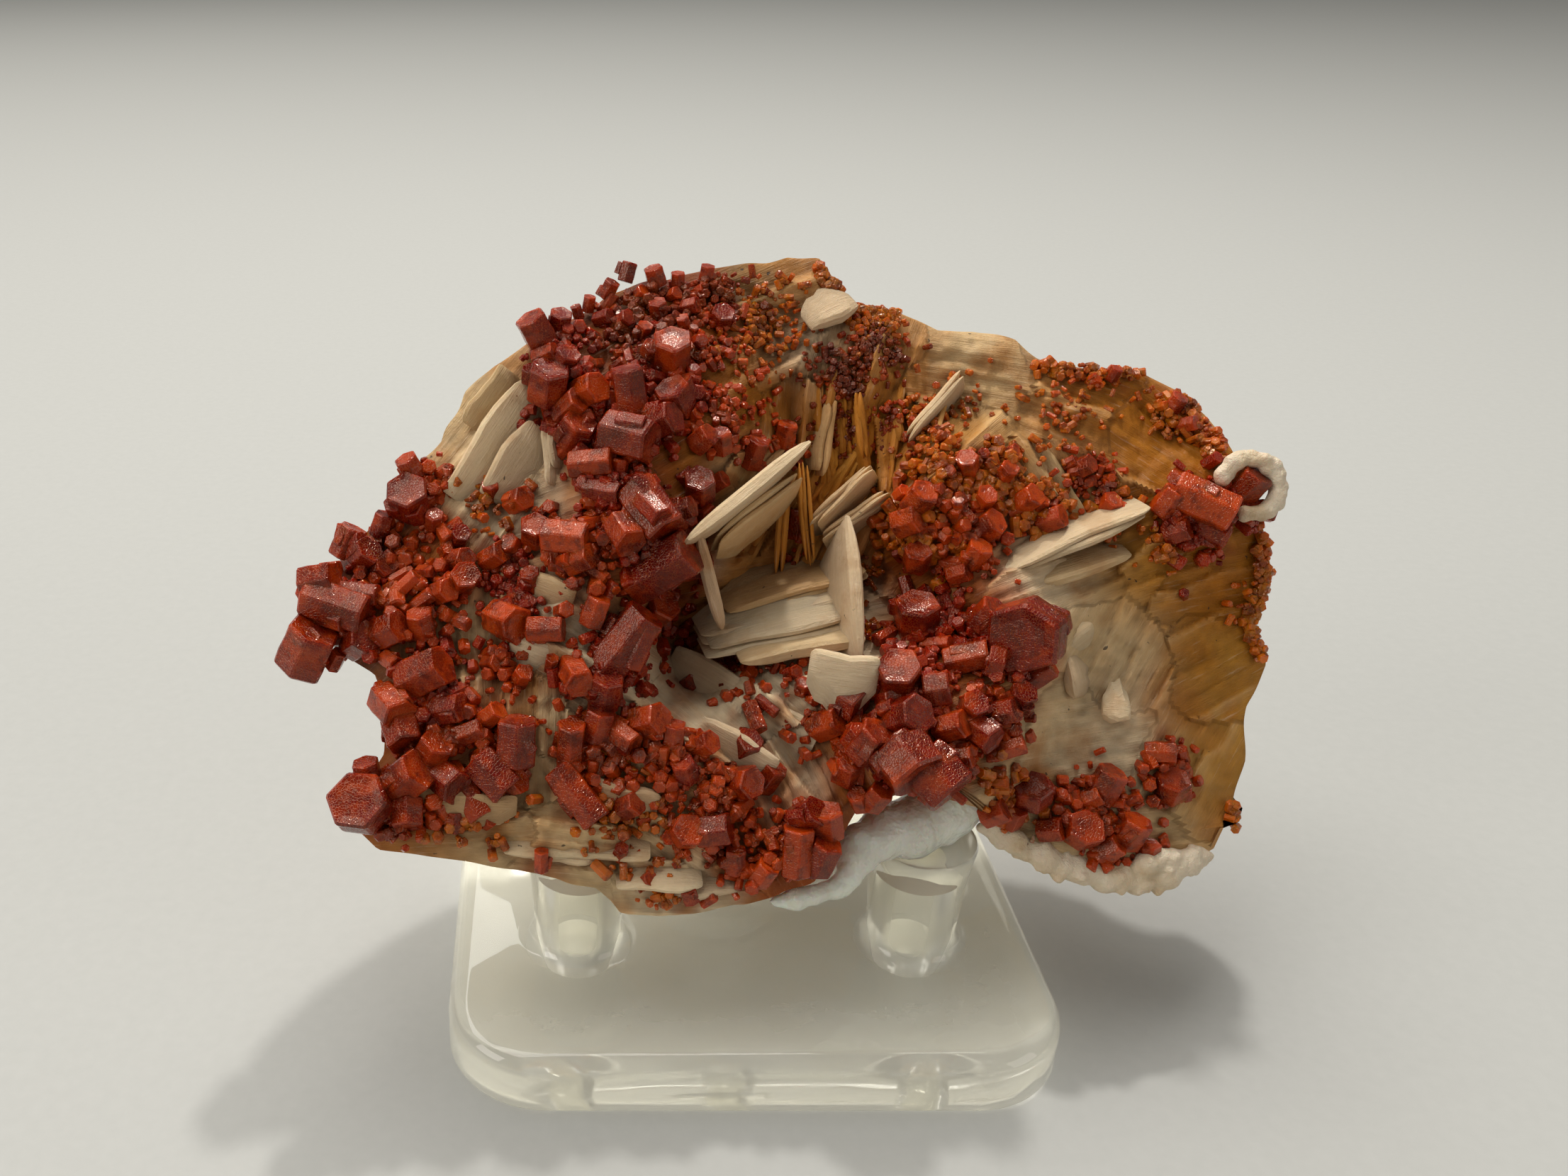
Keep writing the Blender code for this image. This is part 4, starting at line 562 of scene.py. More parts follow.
class Heap:
    """Points, faces, colours and lath coordinates gathered into one mesh."""

    def __init__(self):
        self.points, self.faces, self.tones, self.coordinates, self.count = [], [], [], [], 0

    def add(self, points, faces, tones, coordinates=None):
        points = np.asarray(points, float).reshape(-1, 3)
        tones = np.broadcast_to(np.asarray(tones, float), (len(points), 3))
        if coordinates is None:
            coordinates = points[:, :2]
        self.points.append(points)
        self.tones.append(tones)
        self.coordinates.append(np.asarray(coordinates, float))
        self.faces.extend([tuple(corner + self.count for corner in face) for face in faces])
        self.count += len(points)

    def build(self, name, material, slot, node=None, smooth=0):
        """One mesh object of all that was added, with edges sharper than smooth degrees kept."""
        points = np.concatenate(self.points) * MM
        mesh = meshed(name, points.tolist(), self.faces)
        mesh.update()
        tones = mesh.color_attributes.new("tone", "FLOAT_COLOR", "POINT")
        colours = np.concatenate((np.concatenate(self.tones), np.ones((len(points), 1))), 1)
        tones.data.foreach_set("color", colours.ravel().astype(np.float32))
        corners = np.empty(len(mesh.loops), np.int32)
        mesh.loops.foreach_get("vertex_index", corners)
        flat = np.concatenate(self.coordinates)[corners]
        mesh.uv_layers.new(name="laths").data.foreach_set("uv", flat.ravel().astype(np.float32))
        mesh.materials.append(material)
        if smooth:
            mesh.shade_smooth()
            mesh.set_sharp_from_angle(angle=math.radians(smooth))
        return belongs(placed(name, mesh), node)


def tube_faces(rows, columns, flip=False):
    """Quads between rings of points and a face at either end; flip if the rings turn leftward."""
    faces = []
    for low in range(0, (rows - 1) * columns, columns):
        for column in range(columns):
            beside = (column + 1) % columns
            faces.append((low + column, low + columns + column, low + columns + beside, low + beside))
    faces.append(tuple(range(columns)))
    faces.append(tuple(reversed(range((rows - 1) * columns, rows * columns))))
    return [face[::-1] for face in faces] if flip else faces


def rock_body():
    """The rock as one closed surface: its striated face, its rim and its rough back."""
    angles = np.arange(ROCK_AROUND) * 2 * math.pi / ROCK_AROUND
    reach = rim_reach(angles) + 0.22 * noise(np.cos(angles) * 14, np.sin(angles) * 14, 5)
    front_shares = np.linspace(0.004, 1, FRONT_RINGS) ** 0.8
    ways = np.stack((np.cos(angles), np.sin(angles)), -1)
    front = np.array(CENTRE) + front_shares[:, None, None] * (ways * reach[:, None])[None]
    across, up = front[..., 0], front[..., 1]
    direction, proud = grain(across, up)
    along = across * np.cos(direction) + up * np.sin(direction)
    beside = up * np.cos(direction) - across * np.sin(direction)
    fade = np.clip((1 - front_shares) * 14, 0, 1)[:, None]
    out = relief(across, up)
    broad, narrow = terraces(along, beside, BROAD_PLATES), terraces(along + 5, beside, NARROW_PLATES)
    laths = 0.30 * noise(beside * 2.2, along * 0.18, 8)
    lumps, lines = noise(across * 1.3, up * 1.3, 9), noise(beside * 6, along * 0.4, 10)
    out = out + fade * proud * (2.2 * broad + 0.55 * narrow - 0.9 + laths)
    out = out + fade * 0.20 * lumps + fade * 0.07 * lines
    out = out - 0.9 * (1 - fade)
    points = on_face(np.stack((across, up, out), -1))
    back_shares = np.linspace(1, 0.01, BACK_RINGS)
    back = np.array(CENTRE) + back_shares[:, None, None] * (ways * reach[:, None])[None]
    back_across, back_up = back[..., 0], back[..., 1]
    share = back_shares[:, None] * np.ones(ROCK_AROUND)
    bulge = BACK_DEPTH * (1 - share**2.2) ** 0.8
    back_out = relief(back_across, back_up) * share - RIM_THICKNESS - bulge
    tilt = np.floor(back_across / 3.1 + 0.6 * noise(back_across * 0.2, back_up * 0.3, 31))
    waver = 0.5 * noise(back_across * 0.4, back_up * 0.4, 34)
    slant = np.floor((back_up + 0.5 * back_across) / 1.7 + waver)
    back_out = back_out + np.clip(3 * (1 - share), 0, 1) * (
        1.1 * noise(back_across * 0.35, back_up * 0.35, 32) + 0.7 * np.sin(tilt * 51.3) + 0.7
        + 0.45 * noise(back_across * 1.2, back_up * 1.2, 33) + 0.3 * np.sin(slant * 37.9)
    )
    back_points = on_face(np.stack((back_across, back_up, back_out), -1))
    for points_of in (points, back_points):
        for from_x, to_x, from_y in UNDERSIDES:
            x, y, z = np.moveaxis(points_of, -1, 0)
            low = (x >= from_x) & (x < to_x) & (y > from_y) & (z < UNDERSIDE_Z)
            points_of[..., 2] = np.where(low, UNDERSIDE_Z, z)
    # Painted light and shade: each terrace is lighter as it rises to its free edge and darker in the
    # low part behind it
    tones = rock_tone(across, up) * (0.84 + 0.34 * broad + 0.10 * narrow)[..., None]
    # Painted highlight: the terraces' free edges are mixed toward cream, more so to the right
    edge_highlight = np.clip((broad - 0.5) * 2, 0, 1) * np.where(across > HIGHLIGHT_STRONGER_FROM, 0.5, 0.25)
    tones = mixed(tones, CREAM, edge_highlight)
    plain = np.array(CREAM) * (0.85 + 0.25 * noise(back_across * 0.3, back_up * 0.3, 44))[..., None]
    back_tones = mixed(rock_tone(back_across, back_up, 40), plain, np.clip(3 * (1 - share), 0, 0.85))
    flat = np.concatenate((np.stack((along, beside), -1).reshape(-1, 2), back.reshape(-1, 2)))
    heap = Heap()
    heap.add(
        np.concatenate((points.reshape(-1, 3), back_points.reshape(-1, 3))),
        tube_faces(FRONT_RINGS + BACK_RINGS, ROCK_AROUND),
        np.concatenate((tones.reshape(-1, 3), back_tones.reshape(-1, 3))),
        flat,
    )
    return heap.build("barite_body", barite, "barite", "barite_matrix", 60)


LEAF_ALONG = np.array((0.0, 0.015, 0.06, 0.15, 0.28, 0.43, 0.57, 0.72, 0.85, 0.94, 0.985, 1.0))


def leaf(heap, start, end, thickness, depth, lean, colour, petal=0.3):
    """One thin lath: bevelled along its outer edge, rounded to its ends and a little wavy."""
    a, b = on_face(start), on_face(end)
    length = np.linalg.norm(b - a)
    along = (b - a) / length
    across = np.cross(OUT, along)
    across /= np.linalg.norm(across)
    tip = math.radians(lean)
    inward = -OUT * math.cos(tip) + across * math.sin(tip)
    inward -= along * (inward @ along)
    inward /= np.linalg.norm(inward)
    normal = np.cross(along, inward)
    bevel = min(0.3 * thickness, 0.22)
    points, coordinates = [], []
    bow, bend, phase = rng.normal(0, 0.014) * length, rng.normal(0, 0.05) * depth, rng.uniform(0, 6)
    wave = 0.09 * min(depth, 4)
    for number, share in enumerate(LEAF_ALONG):
        ends = min(number, len(LEAF_ALONG) - 1 - number)
        point = abs(2 * share - 1)
        drop = 0.05 * depth * point**3 + (0.30, 0.10, 0.03, 0.0, 0.0, 0.0)[ends] * depth * 0.2
        far = depth * (1 - petal * point**2.2)
        far += wave * (1 - point) * (math.sin(2 * phase + 9 * share) + math.sin(phase + 21 * share))
        far = max(far, drop + 0.3)
        drop += wave * math.sin(phase + 7 * share) * 0.5 + 0.03 * rng.normal()
        slim = (0.15, 0.3, 0.55, 0.8, 0.95, 1.0)[ends]
        half = 0.5 * thickness * slim
        spine = a + along * length * share + normal * bow * math.sin(math.pi * share)
        low = max(drop + 1.2 * bevel, 0.55 * far)
        edge = 0.25 * half
        ring = (
            (-edge, far), (-half, low), (-half, drop + bevel), (-half + bevel * slim, drop),
            (half - bevel * slim, drop), (half, drop + bevel), (half, low), (edge, far),
        )
        for aside, deep in ring:
            points.append(spine + normal * (aside + bend * (deep / depth) ** 2) + inward * deep)
            coordinates.append((length * share, deep if abs(aside) > 0.99 * half else aside))
    middle = (np.array(start) + np.array(end)) / 2
    local = rock_tone(np.array((middle[0],)), np.array((middle[1],)))[0]
    shades = (0.65 * np.array(colour) + 0.35 * local) * (1 + 0.08 * rng.normal())
    # Painted light and shade: each lath is lighter along its outer edge and darker where it runs deep
    # into the rock
    edge_lit_root_shaded = np.tile((0.80, 0.95, 1.10, 1.16, 1.16, 1.10, 0.95, 0.80), len(LEAF_ALONG))[:, None]
    faces = tube_faces(len(LEAF_ALONG), len(ring))
    heap.add(points, faces, np.clip(shades * edge_lit_root_shaded, 0.01, 0.9), coordinates)


def book(heap, start, end, thickness, depth, lean, colour, leaves):
    """A blade as a book of thin laths that end at slightly different places."""
    start, end = np.array(start), np.array(end)
    way = (end - start)[:2]
    long = np.linalg.norm(way)
    petal = 0.85 if abs(lean) < 20 else 0.45
    tip = math.radians(lean)
    beside = np.array((-way[1], way[0], 0.0)) / long
    loose = 0.35 if abs(lean) > 42 else 0.0
    for number in range(leaves):
        place = (number + 0.5) / leaves - 0.5
        shift = (beside * math.cos(tip) + np.array((0, 0, math.sin(tip)))) * place * thickness
        back = 0.16 * abs(place) + 0.10 * rng.random()
        ahead = 1 - 0.16 * abs(place) - 0.10 * rng.random()
        lift = 0.1 - 0.5 * place * place * thickness + 0.15 * rng.normal()
        proud = np.array((0, 0, lift)) * math.cos(tip)
        back = back * 0.7 + loose * rng.random()
        ahead = 1 - (1 - ahead) * 0.7 - loose * rng.random()
        first = start + (end - start) * back + shift + proud
        second = start + (end - start) * ahead + shift + proud
        thin = thickness / leaves * 1.12
        leaf(heap, first, second, thin, depth * 0.8, lean + 3 * rng.normal(), colour, petal)


def small_laths(heap):
    """Laths scattered over the rock, along its grain."""
    for centre_across, centre_up, direction, proud in GRAIN:
        if proud < LATHS_FROM:
            continue
        side = rng.choice((-1, 1))
        for _ in range(SMALL_LATHS):
            across, up = centre_across + 2.3 * rng.normal(), centre_up + 2.0 * rng.normal()
            away = np.array((across, up)) - CENTRE
            length = rng.uniform(2.0, 6.5)
            turn = math.radians(direction + 7 * rng.normal())
            half = np.array((math.cos(turn), math.sin(turn))) * length / 2
            reach = max(np.linalg.norm(away + half), np.linalg.norm(away - half))
            angle = np.array((math.atan2(away[1], away[0]),))
            if reach > rim_reach(angle)[0] - 0.5:
                continue
            first, second = np.array((across, up)) - half, np.array((across, up)) + half
            lift = rng.uniform(-0.05, 0.9) * proud
            tone = rock_tone(np.array((across,)), np.array((up,)))[0]
            leaf(
                heap,
                (*first, relief(*first) + lift),
                (*second, relief(*second) + lift * rng.uniform(0.3, 1.2)),
                rng.uniform(0.25, 0.8),
                2.4,
                side * rng.uniform(12, 44),
                tone * rng.uniform(0.95, 1.25),
            )


def hexagon(radius, chamfer, uneven):
    """A six-sided outline with its corners cut."""
    corners = []
    for i in range(6):
        angle = math.radians(60 * i + 30)
        for turn in (-1, 1):
            reach = radius * (1 + uneven[i])
            wide = angle + turn * chamfer
            corners.append((reach * math.cos(wide), reach * math.sin(wide)))
    return np.array(corners)


def crystal(heap, centre, axis, width, length, colour, turn=0.0, simple=False):
    """A six-sided barrel of vanadinite with flat ends."""
    side = np.cross(axis, OUT + 0.01 * UP)
    side /= np.linalg.norm(side)
    other = np.cross(axis, side)
    cosine, sine = math.cos(turn), math.sin(turn)
    side, other = side * cosine + other * sine, other * cosine - side * sine
    radius, half = width / 2, length / 2
    if simple:
        corners = np.radians(60 * np.arange(6))
        ring = np.stack((np.cos(corners), np.sin(corners)), -1) * radius
        levels = ((-half, 0.9), (half - 0.12 * width, 1.0), (half, 0.78))
    else:
        uneven = rng.normal(0, 0.045, 6)
        ring = hexagon(radius, 0.055, uneven)
        cut = 0.05 * width
        levels = (
            (-half, 0.91), (-half + cut, 1.0), (-0.3 * half, 1.03), (0.35 * half, 0.985),
            (half - cut, 1.0), (half, 0.91), (half - 0.03 * width, 0.6),
        )
    points = []
    for place, scale in levels:
        for x, y in ring:
            points.append(centre + axis * place + (side * x + other * y) * scale)
    coordinates = [(place, i * 0.7) for place, _ in levels for i in range(len(ring))]
    heap.add(points, tube_faces(len(levels), len(ring), flip=True), colour, coordinates)


def way_of(lean, toward):
    """A direction on the face: lean degrees from the right, tipped toward the viewer."""
    turn, tip = math.radians(lean), math.radians(toward)
    return (RIGHT * math.cos(turn) + UP * math.sin(turn)) * math.cos(tip) + OUT * math.sin(tip)


def cluster(name, crystals):
    """A cluster's crystals, each with smaller ones grown against it in nearly the same direction."""
    heap = Heap()
    size = SIZES.get(name, DRAWN_SIZE)
    for across, up, width, length, lean, toward in crystals:
        centre = on_face((across, up, float(relief(across, up)) + 0.28 * width))
        axis = way_of(lean, toward)
        # Smaller crystals are made more orange as painted glow of light through thin crystals; the rest
        # is random colour and each cluster's own warmth
        warmth_and_glow = np.clip(0.70 + 0.3 * rng.normal() - 0.20 * width + WARMTH.get(name, 0.0), 0, 1)
        colour = mixed(DEEP, ORANGE, warmth_and_glow)
        crystal(heap, centre, axis, width * size, length * size, colour)
        for _ in range(int(0.6 + width * 0.8)):
            angle = rng.uniform(0, 2 * math.pi)
            tilt = axis + 0.16 * rng.normal(size=3)
            tilt /= np.linalg.norm(tilt)
            side = np.cross(axis, OUT + 0.01 * UP)
            side /= np.linalg.norm(side)
            other = np.cross(axis, side)
            away = (side * math.cos(angle) + other * math.sin(angle)) * width * rng.uniform(0.3, 0.5)
            smaller = rng.uniform(0.3, 0.55)
            place = centre + away + axis * length * rng.uniform(-0.35, 0.3) - OUT * 0.18 * width
            tone = colour * rng.uniform(0.8, 1.3)
            crystal(heap, place, tilt, width * smaller, length * smaller * 1.1, tone)
    return heap.build(f"{name}_crystals", vanadinite, "vanadinite", name)


def druses():
    """Thousands of fine crystals over the rock round the clusters, as a left and a right piece."""
    left, right = Heap(), Heap()
    for centre_across, centre_up, reach, number, smallest, largest, colour in DRUSES:
        across = centre_across + rng.normal(0, reach * 0.5, number)
        up = centre_up + rng.normal(0, reach * 0.5, number)
        away = np.stack((across, up), -1) - CENTRE
        inside = np.hypot(away[:, 0], away[:, 1]) < rim_reach(np.arctan2(away[:, 1], away[:, 0])) - 0.4
        out = relief(across, up)
        for x, y, z in zip(across[inside], up[inside], out[inside]):
            width = smallest + (largest - smallest) * rng.random() ** 2.2
            axis = OUT * rng.uniform(0.2, 1.0) + rng.normal(0, 0.55, 3)
            axis /= np.linalg.norm(axis)
            tone = mixed(colour, DEEP, 0.5 * rng.random())
            centre = on_face((x, y, z + 0.1 + 0.2 * width))
            heap = left if x < 0 else right
            length = width * rng.uniform(0.9, 1.8)
            crystal(heap, centre, axis, width, length, tone, rng.uniform(0, 1), simple=True)
    for start, end, inside, number in RIM_BEADS:
        for _ in range(number):
            place = np.array(start) + (np.array(end) - start) * rng.random()
            way = (place - CENTRE) / np.linalg.norm(place - CENTRE)
            place -= way * inside * rng.random() ** 1.6
            width = rng.uniform(0.35, 0.8)
            axis = OUT * 0.7 + rng.normal(0, 0.5, 3)
            axis /= np.linalg.norm(axis)
            tone = np.array(GOLD) * rng.uniform(0.5, 1.0) + np.array(ORANGE) * rng.uniform(0, 0.4)
            centre = on_face((*place, float(relief(*place)) - 0.3))
            crystal(right, centre, axis, width, width * 1.2, tone, rng.uniform(0, 1), simple=True)
    left.build("vanadinite_druse_left", vanadinite, "vanadinite")
    right.build("vanadinite_druse_right", vanadinite, "vanadinite")


def node(tree, kind, **values):
    """A shader node with its sockets and settings."""
    made = tree.nodes.new(kind)
    for key, value in values.items():
        if key in made.inputs:
            made.inputs[key].default_value = value
        else:
            setattr(made, key, value)
    return made


def material(name, **values):
    """A new material and its surface shader, with constants set on the shader's own sockets."""
    made = bpy.data.materials.new(name)
    made.use_nodes = True
    shader = made.node_tree.nodes["Principled BSDF"]
    for key, value in values.items():
        shader.inputs[key.replace("_", " ")].default_value = value
    return made, made.node_tree, shader


def summed(tree, first, second, share=1.0):
    """The first value times its share, plus the second."""
    made = node(tree, "ShaderNodeMath", operation="MULTIPLY_ADD")
    made.inputs[1].default_value = share
    tree.links.new(first, made.inputs[0])
    tree.links.new(second, made.inputs[2])
    return made.outputs[0]


def bump_from(tree, shader, height, distance, strength):
    """Makes the surface uneven by a height pattern."""
    bump = node(tree, "ShaderNodeBump")
    bump.inputs["Strength"].default_value = strength
    bump.inputs["Distance"].default_value = distance
    tree.links.new(height, bump.inputs["Height"])
    tree.links.new(bump.outputs["Normal"], shader.inputs["Normal"])


def scaled(tree, source, scale):
    """Coordinates stretched along each axis."""
    mapping = node(tree, "ShaderNodeMapping")
    mapping.inputs["Scale"].default_value = scale
    tree.links.new(source, mapping.inputs["Vector"])
    return mapping.outputs["Vector"]


def noise_of(tree, vector, scale, detail=4.0, roughness=0.6):
    """A noise pattern over the given coordinates."""
    made = node(tree, "ShaderNodeTexNoise")
    made.inputs["Scale"].default_value = scale
    made.inputs["Detail"].default_value = detail
    made.inputs["Roughness"].default_value = roughness
    tree.links.new(vector, made.inputs["Vector"])
    return made.outputs["Fac"]


def ranged(tree, value, from_low, from_high, to_low, to_high):
    """A value carried from one range to another, and held at its ends."""
    made = node(tree, "ShaderNodeMapRange")
    made.inputs["From Min"].default_value = from_low
    made.inputs["From Max"].default_value = from_high
    made.inputs["To Min"].default_value = to_low
    made.inputs["To Max"].default_value = to_high
    tree.links.new(value, made.inputs["Value"])
    return made.outputs["Result"]


def blended(tree, share, first, second, kind="MIX"):
    """Two colours, each a socket or a constant, blended by the second one's share."""
    made = tree.nodes.new("ShaderNodeMix")
    made.data_type = "RGBA"
    made.blend_type = kind
    for socket, value in (("Factor_Float", share), ("A_Color", first), ("B_Color", second)):
        target = next(entry for entry in made.inputs if entry.identifier == socket)
        if hasattr(value, "is_linked"):
            tree.links.new(value, target)
        else:
            target.default_value = value if socket == "Factor_Float" else (*value, 1.0)
    return next(entry for entry in made.outputs if entry.identifier == "Result_Color")


def barite_material():
    """Pearly barite: its patchy colour, fine laths in the surface, a soft sheen and painted highlights
    along the laths.
    """
    made, tree, shader = material(
        "barite_pearly", Roughness=0.5, IOR=1.64, Specular_IOR_Level=0.15, Subsurface_Weight=0.15,
        Subsurface_Scale=0.0012, Subsurface_Radius=(1.0, 0.6, 0.3),
    )
    tone = node(tree, "ShaderNodeVertexColor", layer_name="tone").outputs["Color"]
    laths = node(tree, "ShaderNodeUVMap", uv_map="laths").outputs["UV"]
    place = node(tree, "ShaderNodeTexCoord").outputs["Object"]
    lines = noise_of(tree, scaled(tree, laths, (0.25, 3.4, 1.0)), 1.0, 6.0, 0.7)
    fine = noise_of(tree, scaled(tree, laths, (0.7, 11.0, 1.0)), 1.0, 3.0, 0.6)
    grains = noise_of(tree, place, 1500.0, 5.0, 0.65)
    stains = noise_of(tree, place, 170.0, 5.0, 0.6)
    streaks = noise_of(tree, scaled(tree, laths, (0.10, 1.3, 1.0)), 1.0, 6.0, 0.62)
    shade = ranged(tree, lines, 0.3, 0.7, 0.90, 1.06)
    shaded = blended(tree, 1.0, tone, shade, "MULTIPLY")
    streaked = blended(tree, ranged(tree, streaks, 0.52, 0.74, 0.0, 0.22), shaded, AMBER)
    # Painted highlight: pale lines along the laths stand in for the pearly shine of their edges
    pale = blended(tree, ranged(tree, lines, 0.58, 0.70, 0.0, 0.25), streaked, LATH_EDGE_HIGHLIGHT)
    stained = blended(tree, ranged(tree, stains, 0.54, 0.72, 0.0, 0.5), pale, OCHRE)
    specks = ranged(tree, noise_of(tree, place, 1400.0, 2.0, 0.5), 0.735, 0.76, 0.0, 0.8)
    coloured = blended(tree, specks, stained, SPECK)
    tree.links.new(coloured, shader.inputs["Base Color"])
    tree.links.new(ranged(tree, grains, 0.3, 0.7, 0.34, 0.66), shader.inputs["Roughness"])
    height = summed(tree, grains, summed(tree, fine, lines, 0.7), 0.9)
    bump_from(tree, shader, height, 0.00022, 0.7)
    return made


def vanadinite_material():
    """Vanadinite: deep red to orange and cloudy, with growth lines, fine crackle and pits."""
    made, tree, shader = material(
        "vanadinite_red", IOR=2.3, Specular_IOR_Level=0.16, Specular_Tint=(1.0, 0.70, 0.54, 1.0),
        Subsurface_Weight=0.38, Subsurface_Scale=0.0012, Subsurface_Radius=(1.0, 0.12, 0.02),
    )
    tone = node(tree, "ShaderNodeVertexColor", layer_name="tone").outputs["Color"]
    laths = node(tree, "ShaderNodeUVMap", uv_map="laths").outputs["UV"]
    place = node(tree, "ShaderNodeTexCoord").outputs["Object"]
    lines = noise_of(tree, scaled(tree, laths, (3.0, 0.6, 1.0)), 2.0, 4.0, 0.6)
    pits = noise_of(tree, place, 5200.0, 4.0, 0.7)
    cloud = noise_of(tree, place, 420.0, 4.0, 0.6)
    warm = blended(tree, ranged(tree, cloud, 0.50, 0.68, 0.0, 0.7), tone, ORANGE)
    dark = blended(tree, ranged(tree, cloud, 0.34, 0.47, 0.8, 0.0), warm, CRYSTAL_DARK)
    cracks = node(tree, "ShaderNodeTexVoronoi", feature="DISTANCE_TO_EDGE")
    cracks.inputs["Scale"].default_value = 5200.0
    tree.links.new(place, cracks.inputs["Vector"])
    etched = ranged(tree, cracks.outputs["Distance"], 0.0, 0.12, 0.0, 1.0)
    near_crack = ranged(tree, cracks.outputs["Distance"], 0.0, 0.10, 0.30, 0.0)
    lit = blended(tree, near_crack, dark, CRYSTAL_LIT)
    depth = noise_of(tree, place, 900.0, 3.0, 0.6)
    seen = blended(tree, ranged(tree, depth, 0.36, 0.50, 0.65, 0.0), lit, CRYSTAL_DEPTH)
    tree.links.new(seen, shader.inputs["Base Color"])
    tree.links.new(ranged(tree, pits, 0.40, 0.62, 0.04, 0.20), shader.inputs["Roughness"])
    height = summed(tree, summed(tree, lines, pits), etched)
    bump_from(tree, shader, height, 0.00003, 0.5)
    return made


def crust_material():
    """Pale crust with fine grains and a few ochre patches."""
    made, tree, shader = material(
        "crust_pale", Roughness=0.6, IOR=1.55, Subsurface_Weight=0.15, Subsurface_Scale=0.001,
    )
    place = node(tree, "ShaderNodeTexCoord").outputs["Object"]
    patches = noise_of(tree, place, 260.0, 5.0, 0.6)
    grains = noise_of(tree, place, 2200.0, 4.0, 0.65)
    coloured = blended(tree, ranged(tree, patches, 0.45, 0.7, 0.0, 0.8), CRUST_PALE, CRUST_OCHRE)
    tree.links.new(coloured, shader.inputs["Base Color"])
    tree.links.new(ranged(tree, grains, 0.3, 0.7, 0.4, 0.7), shader.inputs["Roughness"])
    bump_from(tree, shader, grains, 0.0003, 0.8)
    return made


def adhesive_material():
    """Set adhesive: milky and half clear, with a wet shine."""
    made, tree, shader = material(
        "adhesive_milky", IOR=1.5, Transmission_Weight=0.25,
        Subsurface_Weight=0.4, Subsurface_Scale=0.003,
    )
    place = node(tree, "ShaderNodeTexCoord").outputs["Object"]
    milk = noise_of(tree, place, 320.0, 4.0, 0.55)
    coloured = blended(tree, ranged(tree, milk, 0.35, 0.65, 0.0, 1.0), MILK_PALE, MILK_DULL)
    tree.links.new(coloured, shader.inputs["Base Color"])
    tree.links.new(ranged(tree, milk, 0.3, 0.7, 0.12, 0.32), shader.inputs["Roughness"])
    bump_from(tree, shader, milk, 0.0014, 0.7)
    return made


def plastic_material():
    """Moulded plastic, clear but a little milky and warm, with ripples and handling marks."""
    made, tree, shader = material("plastic_clear", IOR=1.49, Transmission_Weight=0.74)
    place = node(tree, "ShaderNodeTexCoord").outputs["Object"]
    smears = noise_of(tree, scaled(tree, place, (1.0, 1.6, 1.0)), 190.0, 5.0, 0.65)
    ripples = noise_of(tree, place, 70.0, 2.0, 0.5)
    smeared = ranged(tree, smears, 0.4, 0.7, 0.0, 1.0)
    tint = blended(tree, smeared, PLASTIC_CLEAR, PLASTIC_SMEARED)
    tree.links.new(tint, shader.inputs["Base Color"])
    tree.links.new(ranged(tree, smears, 0.46, 0.72, 0.02, 0.10), shader.inputs["Roughness"])
    bump_from(tree, shader, ripples, 0.0004, 0.08)
    return made


def floor_material():
    """The pale, faintly mottled ground under the stand."""
    made, tree, shader = material("floor_pale", Roughness=0.7)
    place = node(tree, "ShaderNodeTexCoord").outputs["Object"]
    grain_of = noise_of(tree, place, 900.0, 3.0, 0.6)
    coloured = blended(tree, grain_of, FLOOR_DULL, FLOOR_PALE)
    tree.links.new(coloured, shader.inputs["Base Color"])
    return made


def blob(name, balls, voxel, rough, material_of, node_name=None, seed=0):
    """Balls melted into one lumpy body."""
    made = bmesh.new()
    for x, y, z, radius in balls:
        ball = bmesh.ops.create_icosphere(made, subdivisions=3, radius=radius * MM)
        bmesh.ops.translate(made, verts=ball["verts"], vec=Vector((x, y, z)) * MM)
    mesh = bpy.data.meshes.new(name)
    made.to_mesh(mesh)
    made.free()
    obj = placed(name, mesh)
    melt = obj.modifiers.new("melt", "REMESH")
    melt.mode = "VOXEL"
    melt.voxel_size = voxel * MM
    melt.use_smooth_shade = True
    soften = obj.modifiers.new("soften", "SMOOTH")
    soften.factor = 0.6
    soften.iterations = 3
    bpy.context.view_layer.objects.active = obj
    for entry in ("melt", "soften"):
        bpy.ops.object.modifier_apply(modifier=entry)
    count = len(obj.data.vertices)
    points, normals = np.empty(count * 3), np.empty(count * 3)
    obj.data.vertices.foreach_get("co", points)
    obj.data.vertices.foreach_get("normal", normals)
    points, normals = points.reshape(-1, 3), normals.reshape(-1, 3)
    wave = noise(points[:, 0] * 900 + points[:, 2] * 300, points[:, 1] * 900, seed)
    wave = wave + 0.5 * noise(points[:, 0] * 2100, points[:, 2] * 2100 + points[:, 1] * 500, seed + 1)
    points = points + normals * (wave * rough * MM)[:, None]
    obj.data.vertices.foreach_set("co", points.ravel())
    obj.data.materials.append(material_of)
    obj.data.update()
    return belongs(obj, node_name)


def along_path(path, step, pebbles=0):
    """Balls every step along a path of (across, up, out, radius), each with smaller pebbles on it."""
    path = np.array(path, float)
    balls = []
    for first, second in zip(path, path[1:]):
        count = max(1, int(np.linalg.norm(second[:2] - first[:2]) / step))
        for i in range(count):
            place = first + (second - first) * i / count
            radius = place[3] * rng.uniform(0.82, 1.06)
            middle = on_face(place[:3] + rng.normal(0, 0.12, 3))
            balls.append((*middle, radius))
            for _ in range(pebbles):
                way = rng.normal(size=3)
                pebble = middle + way / np.linalg.norm(way) * radius * 0.95
                balls.append((*pebble, rng.uniform(0.16, 0.42)))
    balls.append((*on_face(path[-1][:3]), path[-1][3]))
    return balls


